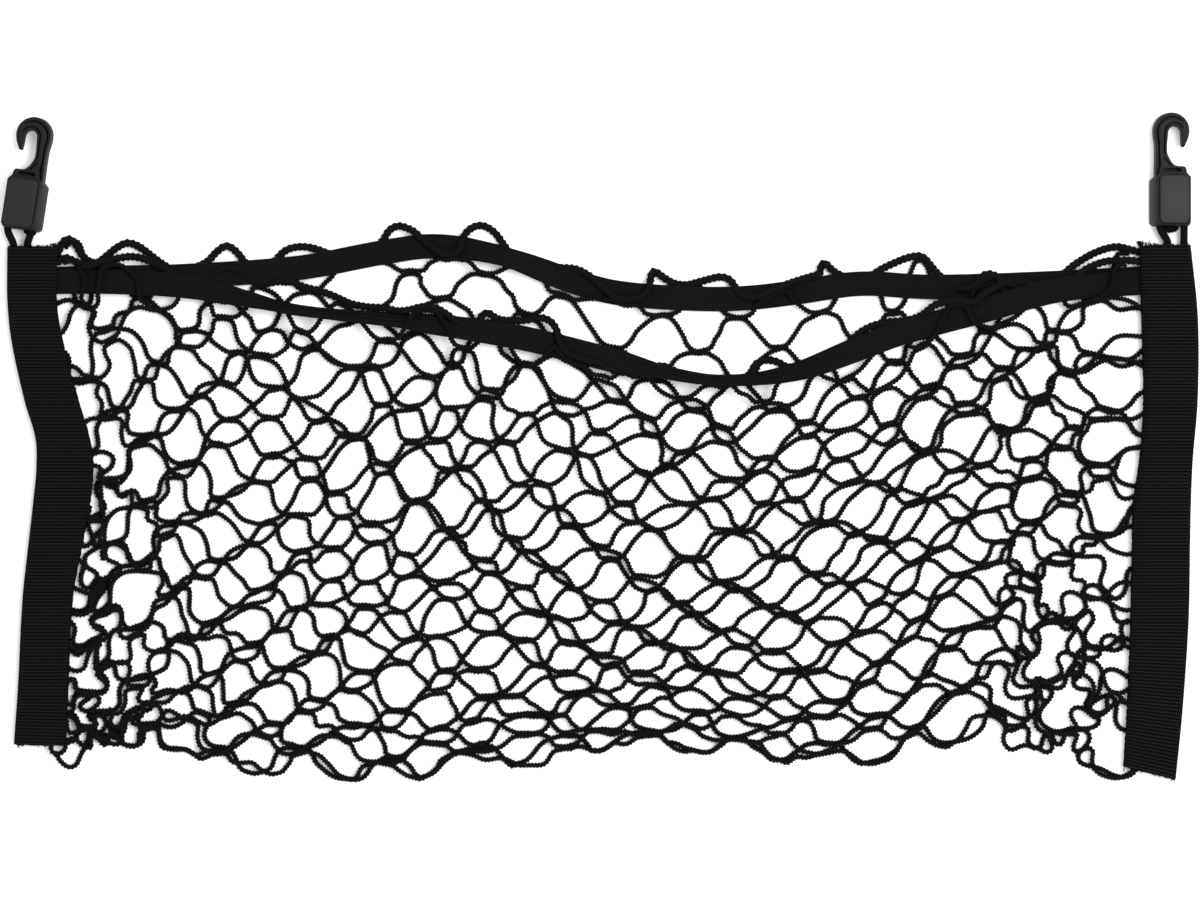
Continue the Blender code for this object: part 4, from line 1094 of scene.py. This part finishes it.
def make_hook():
    """The moulded hook in its own frame: case, shoulder and arm in one, and its cover."""
    hook = make_case()
    half = CASE_THICKNESS / 2
    outline = [(x * MM, y * MM) for x, y in SHOULDER]
    combine(hook, outline_plate("shoulder", outline, -3.3 * MM, 3.3 * MM), "UNION")
    combine(hook, make_arm(), "UNION")
    for length, width, depth, middle, turn in CUTS:
        slot = add_block("slot", (length * MM, width * MM, depth * MM), (0, 0, 0))
        edit(True)
        select_edges(lambda a, b: abs(a.z - b.z) > depth / 2 * MM)
        bpy.ops.mesh.bevel(offset=0.46 * width * MM, segments=4)
        edit(False)
        turned = Matrix.Rotation(math.radians(turn), 4, "Z")
        slot.data.transform(Matrix.Translation(Vector(middle) * MM) @ turned)
        combine(hook, slot, "DIFFERENCE")
    seat = plate_outline(COVER_WIDTH + 2 * FIT, COVER_LENGTH + 2 * FIT, 1.5 * MM, 3.1 * MM)
    combine(hook, outline_plate("seat", seat, half - COVER_SEAT - FIT, half + 2 * MM), "DIFFERENCE")
    plate = plate_outline(COVER_WIDTH, COVER_LENGTH, 1.4 * MM, 2.8 * MM)
    cover = outline_plate("hook cover", plate, half - COVER_SEAT, half + COVER_PROUD)
    edit(True)
    select_edges(lambda a, b: min(a.z, b.z) > half)
    bpy.ops.mesh.bevel(offset=0.55 * MM, segments=3)
    edit(False)
    for made in (hook, cover):
        pick(made)
        rounding = made.modifiers.new("softened edges", "BEVEL")
        rounding.width = 0.12 * MM
        rounding.segments = 2
        rounding.limit_method = "ANGLE"
        rounding.angle_limit = math.radians(38)
        bpy.ops.object.modifier_apply(modifier=rounding.name)
        bpy.ops.object.shade_smooth_by_angle(angle=math.radians(32))
    return hook, cover


def place_hook(side, pieces, hook, mirror, looks):
    """Copies of the hook and its cover where they lie, turned over on the left."""
    for piece, look, name in zip(pieces, looks, (f"hook_{side}", f"hook_cover_{side}")):
        mesh = piece.data.copy()
        mesh.name = f"moulded_{name}"
        flip = Matrix.Diagonal((mirror, 1, 1, 1))
        mesh.transform(hook_place(hook, mirror) @ flip)
        if mirror < 0:
            mesh.flip_normals()
        made = bpy.data.objects.new(f"moulded_{name}", mesh)
        bpy.context.scene.collection.objects.link(made)
        finished(made, look, [name])


# ---- Materials ------------------------------------------------------------------------------------------

CLOTH_ROUGHNESS = 0.9
CLOTH_SHINE = 0.024
GAP_PAINTED_SHADE = 0.04                   # painted shade between the cloth's yarns, as a share of its colour
PLASTIC_RELIEF = 0.08 * MM
DUST = (0.012, 0.012, 0.0125)
WEBBING_DUST = (0.014, 0.014, 0.0145)
CORD_DUST = (0.02, 0.02, 0.02)
THREAD = (0.008, 0.008, 0.008)


class Wiring:
    """Short calls for placing and linking the nodes of a material or a group."""

    def __init__(self, tree):
        self.tree = tree

    def add(self, kind, inputs=None, **values):
        """A node with its settings, and with its inputs, each a value or another node's socket."""
        node = self.tree.nodes.new(kind)
        for name, value in values.items():
            setattr(node, name, value)
        for name, value in (inputs or {}).items():
            self.feed(node.inputs[name], value)
        return node

    def link(self, source, target):
        self.tree.links.new(source, target)

    def feed(self, socket, value):
        if isinstance(value, bpy.types.NodeSocket):
            self.link(value, socket)
        else:
            socket.default_value = value

    def math(self, operation, *values):
        node = self.add("ShaderNodeMath", operation=operation)
        for socket, value in zip(node.inputs, values):
            self.feed(socket, value)
        return node.outputs[0]

    def noise(self, vector, scale, detail):
        inputs = {"Vector": vector, "Scale": scale, "Detail": detail}
        return self.add("ShaderNodeTexNoise", inputs).outputs["Fac"]

    def blend(self, factor, a, b):
        inputs = {"Factor": factor, "A": a, "B": b}
        return self.add("ShaderNodeMix", inputs, data_type="RGBA").outputs["Result"]

    def bump(self, height, strength, distance):
        inputs = {"Strength": strength, "Distance": distance, "Height": height}
        return self.add("ShaderNodeBump", inputs).outputs["Normal"]


def new_material(name):
    """A material, the wiring of its nodes, and its shader."""
    made = bpy.data.materials.new(name)
    made.use_nodes = True
    return made, Wiring(made.node_tree), made.node_tree.nodes["Principled BSDF"]


def new_group(name, inputs, outputs):
    """A shader node group with named sockets."""
    tree = bpy.data.node_groups.new(name, "ShaderNodeTree")
    for label, kind, value in inputs:
        socket = tree.interface.new_socket(label, in_out="INPUT", socket_type=kind)
        if value is not None:
            socket.default_value = value
    for label, kind in outputs:
        tree.interface.new_socket(label, in_out="OUTPUT", socket_type=kind)
    wiring = Wiring(tree)
    return tree, wiring, wiring.add("NodeGroupInput").outputs, wiring.add("NodeGroupOutput").inputs


def knit_group():
    """Columns of V stitches that run along a cord. Reads a UV map in metres."""
    tree, w, given, out = new_group(
        "Knit stitches",
        [("Vector", "NodeSocketVector", None), ("Stitch", "NodeSocketFloat", 0.0013),
         ("Column", "NodeSocketFloat", 0.0014)],
        [("Height", "NodeSocketFloat"), ("Gap", "NodeSocketFloat")],
    )
    split = w.add("ShaderNodeSeparateXYZ")
    w.link(given["Vector"], split.inputs[0])
    column = w.math("FRACT", w.math("DIVIDE", split.outputs[0], given["Column"]))
    off = w.math("ABSOLUTE", w.math("SUBTRACT", column, 0.5))
    slanted = w.math("ADD", w.math("DIVIDE", split.outputs[1], given["Stitch"]), off)
    lobe = w.math("ABSOLUTE", w.math("SINE", w.math("MULTIPLY", slanted, math.pi)))
    side = w.math("SINE", w.math("MULTIPLY", w.math("FRACT", w.math("MULTIPLY", column, 2.0)), math.pi))
    height = w.math("MULTIPLY", w.math("POWER", lobe, 0.6), w.math("POWER", side, 0.35))
    w.link(height, out["Height"])
    # Gap masks the painted shade between the stitches
    w.link(w.math("SUBTRACT", 1.0, height), out["Gap"])
    return tree


def weave_group():
    """Yarns that cross ribs, brick-wise. Reads a UV map in metres, with the ribs across its second axis."""
    tree, w, given, out = new_group(
        "Ribbed weave",
        [("Vector", "NodeSocketVector", None), ("Rib", "NodeSocketFloat", 0.0017),
         ("Yarn", "NodeSocketFloat", 0.0011)],
        [("Height", "NodeSocketFloat"), ("Gap", "NodeSocketFloat")],
    )
    split = w.add("ShaderNodeSeparateXYZ")
    w.link(given["Vector"], split.inputs[0])
    rib = w.math("DIVIDE", split.outputs[1], given["Rib"])
    shift = w.math("MULTIPLY", w.math("FLOOR", rib), 0.5)
    yarn = w.math("ADD", w.math("DIVIDE", split.outputs[0], given["Yarn"]), shift)
    round_yarn = w.math("ABSOLUTE", w.math("SINE", w.math("MULTIPLY", yarn, math.pi)))
    round_rib = w.math("SINE", w.math("MULTIPLY", w.math("FRACT", rib), math.pi))
    height = w.math("MULTIPLY", w.math("POWER", round_yarn, 0.5), w.math("POWER", round_rib, 1.6))
    w.link(height, out["Height"])
    # Gap masks the painted shade between the yarns and ribs
    w.link(w.math("SUBTRACT", 1.0, height), out["Gap"])
    return tree


def fibre_group():
    """Uneven fibres and faint dust, from Object coordinates."""
    tree, w, given, out = new_group(
        "Fibre and dust",
        [("Vector", "NodeSocketVector", None), ("Scale", "NodeSocketFloat", 900.0)],
        [("Fibre", "NodeSocketFloat"), ("Dust", "NodeSocketFloat")],
    )
    fibre = w.noise(given["Vector"], given["Scale"], 3.0)
    dust = w.noise(given["Vector"], 60.0, 4.0)
    w.link(fibre, out["Fibre"])
    speck = w.math("GREATER_THAN", fibre, 0.66)
    w.link(w.math("MULTIPLY", speck, w.math("POWER", dust, 3.0)), out["Dust"])
    return tree


GROUPS = {}


def shared(name, build):
    """A node group, built at its first use."""
    if name not in GROUPS:
        GROUPS[name] = build()
    return GROUPS[name]


def shade(colour, share=1.0):
    """A share of a colour, with an alpha of 1."""
    return tuple(value * share for value in colour) + (1.0,)


def cloth_material(name, colour, dust_colour, pattern, sizes, depth, fibre_scale):
    """Black cloth: a knit or weave in its relief, with painted shade in its gaps, over uneven fibres with a
    little dust.
    """
    made, w, shader = new_material(name)
    shader.inputs["Roughness"].default_value = CLOTH_ROUGHNESS
    shader.inputs["Specular IOR Level"].default_value = CLOTH_SHINE
    coordinates = w.add("ShaderNodeTexCoord")
    uv = w.add("ShaderNodeUVMap", uv_map="UVMap")
    relief = w.add("ShaderNodeGroup", node_tree=pattern)
    for socket, value in {"Vector": uv.outputs[0], **sizes}.items():
        w.feed(relief.inputs[socket], value)
    fibre = w.add("ShaderNodeGroup", node_tree=shared("fibre", fibre_group))
    w.link(coordinates.outputs["Object"], fibre.inputs["Vector"])
    fibre.inputs["Scale"].default_value = fibre_scale
    dusted = w.blend(w.math("MULTIPLY", fibre.outputs["Dust"], 0.8), shade(colour), shade(dust_colour))
    # Painted shade: the gaps between yarns and stitches are darkened in the base colour
    painted_gap_shade = w.blend(relief.outputs["Gap"], dusted, shade(colour, GAP_PAINTED_SHADE))
    w.link(painted_gap_shade, shader.inputs["Base Color"])
    height = w.math("ADD", relief.outputs["Height"], w.math("MULTIPLY", fibre.outputs["Fibre"], 0.35))
    w.link(w.bump(height, 0.9, depth), shader.inputs["Normal"])
    return made


def plastic_material(name, colour, shine, roughness):
    """Moulded plastic with a fine satin texture, uneven in tone and sheen."""
    made, w, shader = new_material(name)
    shader.inputs["Specular IOR Level"].default_value = shine
    places = w.add("ShaderNodeTexCoord").outputs["Object"]
    fine = w.noise(places, 2600.0, 2.0)
    wide = w.noise(places, 130.0, 3.0)
    w.link(w.blend(wide, shade(colour, 0.86), shade(colour, 1.14)), shader.inputs["Base Color"])
    spread = {"Value": wide, "To Min": roughness - 0.05, "To Max": roughness + 0.05}
    rough = w.add("ShaderNodeMapRange", spread)
    w.link(rough.outputs["Result"], shader.inputs["Roughness"])
    w.link(w.bump(fine, 0.35, PLASTIC_RELIEF), shader.inputs["Normal"])
    return made


# ---- Properties -----------------------------------------------------------------------------------------

def length_property(name, description, default, precision=4):
    return FloatProperty(
        name=name, description=description, default=default, unit="LENGTH", precision=precision)


def colour_property(name, description, default):
    return FloatVectorProperty(
        name=name, description=description, default=default, subtype="COLOR", min=0, max=1)


class NetSettings(bpy.types.PropertyGroup):
    cord_width: length_property("Cord width", "Width of the net's knitted cord", 0.0026)
    cord_thickness: length_property(
        "Cord thickness", "Thickness of the net's cord where it is pressed", 0.0022)
    edge_width: length_property("Edge cord width", "Width of the thicker cord along the mouth", 0.0038)
    knit_pitch: length_property("Knit pitch", "Length of one stitch of the cord", 0.0017, 5)
    colour: colour_property("Colour", "Colour of the cord", (0.0078, 0.0078, 0.008))


class BindingSettings(bpy.types.PropertyGroup):
    rib_pitch: length_property("Rib pitch", "Distance between the webbing's ribs", 0.0017, 5)
    rib_height: length_property("Rib height", "Height of the webbing's ribs", 0.00016, 5)
    colour: colour_property("Colour", "Colour of the webbing", (0.0092, 0.0092, 0.0095))


class ElasticSettings(bpy.types.PropertyGroup):
    elastic_ribs: IntProperty(
        name="Elastic ribs", description="Number of ribs along each elastic band", default=11,
        min=5, max=20)
    colour: colour_property("Colour", "Colour of the elastic", (0.0098, 0.0098, 0.0101))


class FittingSettings(bpy.types.PropertyGroup):
    loop_diameter: length_property("Shock cord", "Diameter of the loops' shock cord", 0.0038)
    cord_colour: colour_property("Cord colour", "Colour of the shock cord", (0.0062, 0.0062, 0.0064))
    plastic: colour_property("Plastic", "Colour of the hooks", (0.0062, 0.0063, 0.0066))
    cover: colour_property("Covers", "Colour of the hooks' covers", (0.0074, 0.0075, 0.0078))


# ---- Steps ----------------------------------------------------------------------------------------------

class CARGONET_OT_net(bpy.types.Operator):
    """Lay both layers of the net, with their edge cords"""

    bl_idname = "cargonet.net"
    bl_label = "Net"

    def execute(self, context):
        settings = context.scene.cargo_net
        look = cloth_material(
            "knitted cord", settings.colour, DUST, shared("knit", knit_group),
            {"Stitch": settings.knit_pitch, "Column": 0.0015}, 0.0003, 1400.0,
        )
        make_layer(settings, False, look)
        make_layer(settings, True, look)
        return {"FINISHED"}


class CARGONET_OT_bands(bpy.types.Operator):
    """Run the elastic through the top row of meshes of both layers"""

    bl_idname = "cargonet.bands"
    bl_label = "Elastic bands"

    def execute(self, context):
        settings = context.scene.cargo_elastic
        look = cloth_material(
            "woven elastic", settings.colour, DUST, shared("weave", weave_group),
            {"Rib": 0.0009, "Yarn": 0.0008}, 0.00008, 1800.0,
        )
        make_band(settings, False, look)
        make_band(settings, True, look)
        return {"FINISHED"}


class CARGONET_OT_bindings(bpy.types.Operator):
    """Fold the ribbed webbing over both side edges and stitch it"""

    bl_idname = "cargonet.bindings"
    bl_label = "Side bindings"

    def execute(self, context):
        settings = context.scene.cargo_binding
        look = cloth_material(
            "ribbed webbing", settings.colour, WEBBING_DUST, shared("weave", weave_group),
            {"Rib": settings.rib_pitch, "Yarn": 0.0011}, 0.00012, 1800.0,
        )
        thread = cloth_material(
            "sewing thread", THREAD, CORD_DUST, shared("knit", knit_group),
            {"Stitch": 0.0005, "Column": 0.0009}, 0.00005, 3000.0,
        )
        for side, table in (("left", LEFT_BINDING), ("right", RIGHT_BINDING)):
            make_binding(settings, side, table, look)
            make_stitches(side, table, thread)
            make_frays(side, table, look)
        return {"FINISHED"}


class CARGONET_OT_fittings(bpy.types.Operator):
    """Add a loop of shock cord with a moulded hook at each top corner"""

    bl_idname = "cargonet.fittings"
    bl_label = "Cord loops and hooks"

    def execute(self, context):
        settings = context.scene.cargo_fitting
        cover = cloth_material(
            "braided cord cover", settings.cord_colour, CORD_DUST, shared("knit", knit_group),
            {"Stitch": 0.0011, "Column": 0.001}, 0.00015, 1800.0,
        )
        plastic = plastic_material("hook plastic", settings.plastic, 0.105, 0.55)
        satin = plastic_material("cover plastic", settings.cover, 0.18, 0.49)
        pieces = make_hook()
        for side, table, hook, mirror in (
            ("left", LEFT_BINDING, LEFT_HOOK, -1), ("right", RIGHT_BINDING, RIGHT_HOOK, 1),
        ):
            make_loop(settings, side, table, hook, mirror, cover)
            place_hook(side, pieces, hook, mirror, (plastic, satin))
        make_cord_end("left", LEFT_HOOK, -1, (-5.2, -0.4, -2.6), (3.2, 1.9, 2.4), cover)
        make_cord_end("right", RIGHT_HOOK, 1, (-0.8, -0.8, -1.2), (4.2, 2.4, 2.4), cover)
        for piece in pieces:
            bpy.data.objects.remove(piece, do_unlink=True)
        return {"FINISHED"}


FLOOR_WIDTH = 6
FLOOR_DROP = 0.0002                # below the net, so that nothing lies in it
FLOOR_TONE = 0.93
ROOM_LIGHT = 1.3
LAMP_WIDTH = 1.2
LAMP_POWER = 58
LAMP_PLACE = (1.05, 0.25, 2.5)
SENSOR = 36
CAMERA_PLACE = (0, -0.76 * MM, 3.0)
VIEW_WIDTH = 1200 * 0.508 * MM     # 1200 pixels of 0.508 mm


class CARGONET_OT_stage(bpy.types.Operator):
    """Set the pale floor, the soft light and the camera above the net"""

    bl_idname = "cargonet.stage"
    bl_label = "Floor, light and camera"

    def execute(self, context):
        scene = context.scene
        bpy.ops.object.select_all(action="DESELECT")
        bpy.ops.mesh.primitive_plane_add(size=FLOOR_WIDTH, location=(0, 0, -FLOOR_DROP))
        floor = context.object
        floor.name = "floor"
        look, _, shader = new_material("pale floor")
        shader.inputs["Base Color"].default_value = (FLOOR_TONE, FLOOR_TONE, FLOOR_TONE, 1)
        shader.inputs["Roughness"].default_value = 0.95
        shader.inputs["Specular IOR Level"].default_value = 0.1
        floor.data.materials.append(look)

        world = bpy.data.worlds.new("soft room")
        scene.world = world
        world.use_nodes = True
        world.node_tree.nodes["Background"].inputs[0].default_value = (1, 1, 1, 1)
        world.node_tree.nodes["Background"].inputs[1].default_value = ROOM_LIGHT

        lamp = bpy.data.lights.new("window light", "AREA")
        lamp.shape = "RECTANGLE"
        lamp.size, lamp.size_y = LAMP_WIDTH, LAMP_WIDTH
        lamp.energy = LAMP_POWER
        made = bpy.data.objects.new("window light", lamp)
        made.location = LAMP_PLACE
        made.rotation_euler = (Vector((0, 0, 0)) - made.location).to_track_quat("-Z", "Y").to_euler()
        scene.collection.objects.link(made)

        lens = bpy.data.cameras.new("camera above")
        lens.sensor_width = SENSOR
        lens.lens = SENSOR * CAMERA_PLACE[2] / VIEW_WIDTH
        lens.clip_start, lens.clip_end = 0.1, 20
        camera = bpy.data.objects.new("camera above", lens)
        camera.location = CAMERA_PLACE
        scene.collection.objects.link(camera)
        scene.camera = camera
        scene.view_settings.view_transform = "Standard"
        return {"FINISHED"}


class CARGONET_PT_panel(bpy.types.Panel):
    """Settings and steps of the cargo net"""

    bl_label = "Cargo Net"
    bl_idname = "CARGONET_PT_panel"
    bl_space_type = "VIEW_3D"
    bl_region_type = "UI"
    bl_category = "Cargo Net"

    def draw(self, context):
        for step in STEPS:
            self.layout.operator(step)
        for group, kind in SETTINGS.items():
            box = self.layout.box()
            for setting in kind.__annotations__:
                box.prop(getattr(context.scene, group), setting)


CLASSES = (
    NetSettings, BindingSettings, ElasticSettings, FittingSettings,
    CARGONET_OT_net, CARGONET_OT_bands, CARGONET_OT_bindings, CARGONET_OT_fittings, CARGONET_OT_stage,
    CARGONET_PT_panel,
)
STEPS = ("cargonet.stage", "cargonet.net", "cargonet.bands", "cargonet.bindings", "cargonet.fittings")
SETTINGS = {
    "cargo_net": NetSettings,
    "cargo_binding": BindingSettings,
    "cargo_elastic": ElasticSettings,
    "cargo_fitting": FittingSettings,
}


def register():
    for kind in CLASSES:
        bpy.utils.register_class(kind)
    for name, kind in SETTINGS.items():
        setattr(bpy.types.Scene, name, PointerProperty(type=kind))


def unregister():
    for name in SETTINGS:
        delattr(bpy.types.Scene, name)
    for kind in reversed(CLASSES):
        bpy.utils.unregister_class(kind)


def main():
    """Register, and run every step."""
    register()
    for step in STEPS:
        space, name = step.split(".")
        getattr(getattr(bpy.ops, space), name)()


if __name__ == "__main__":
    main()
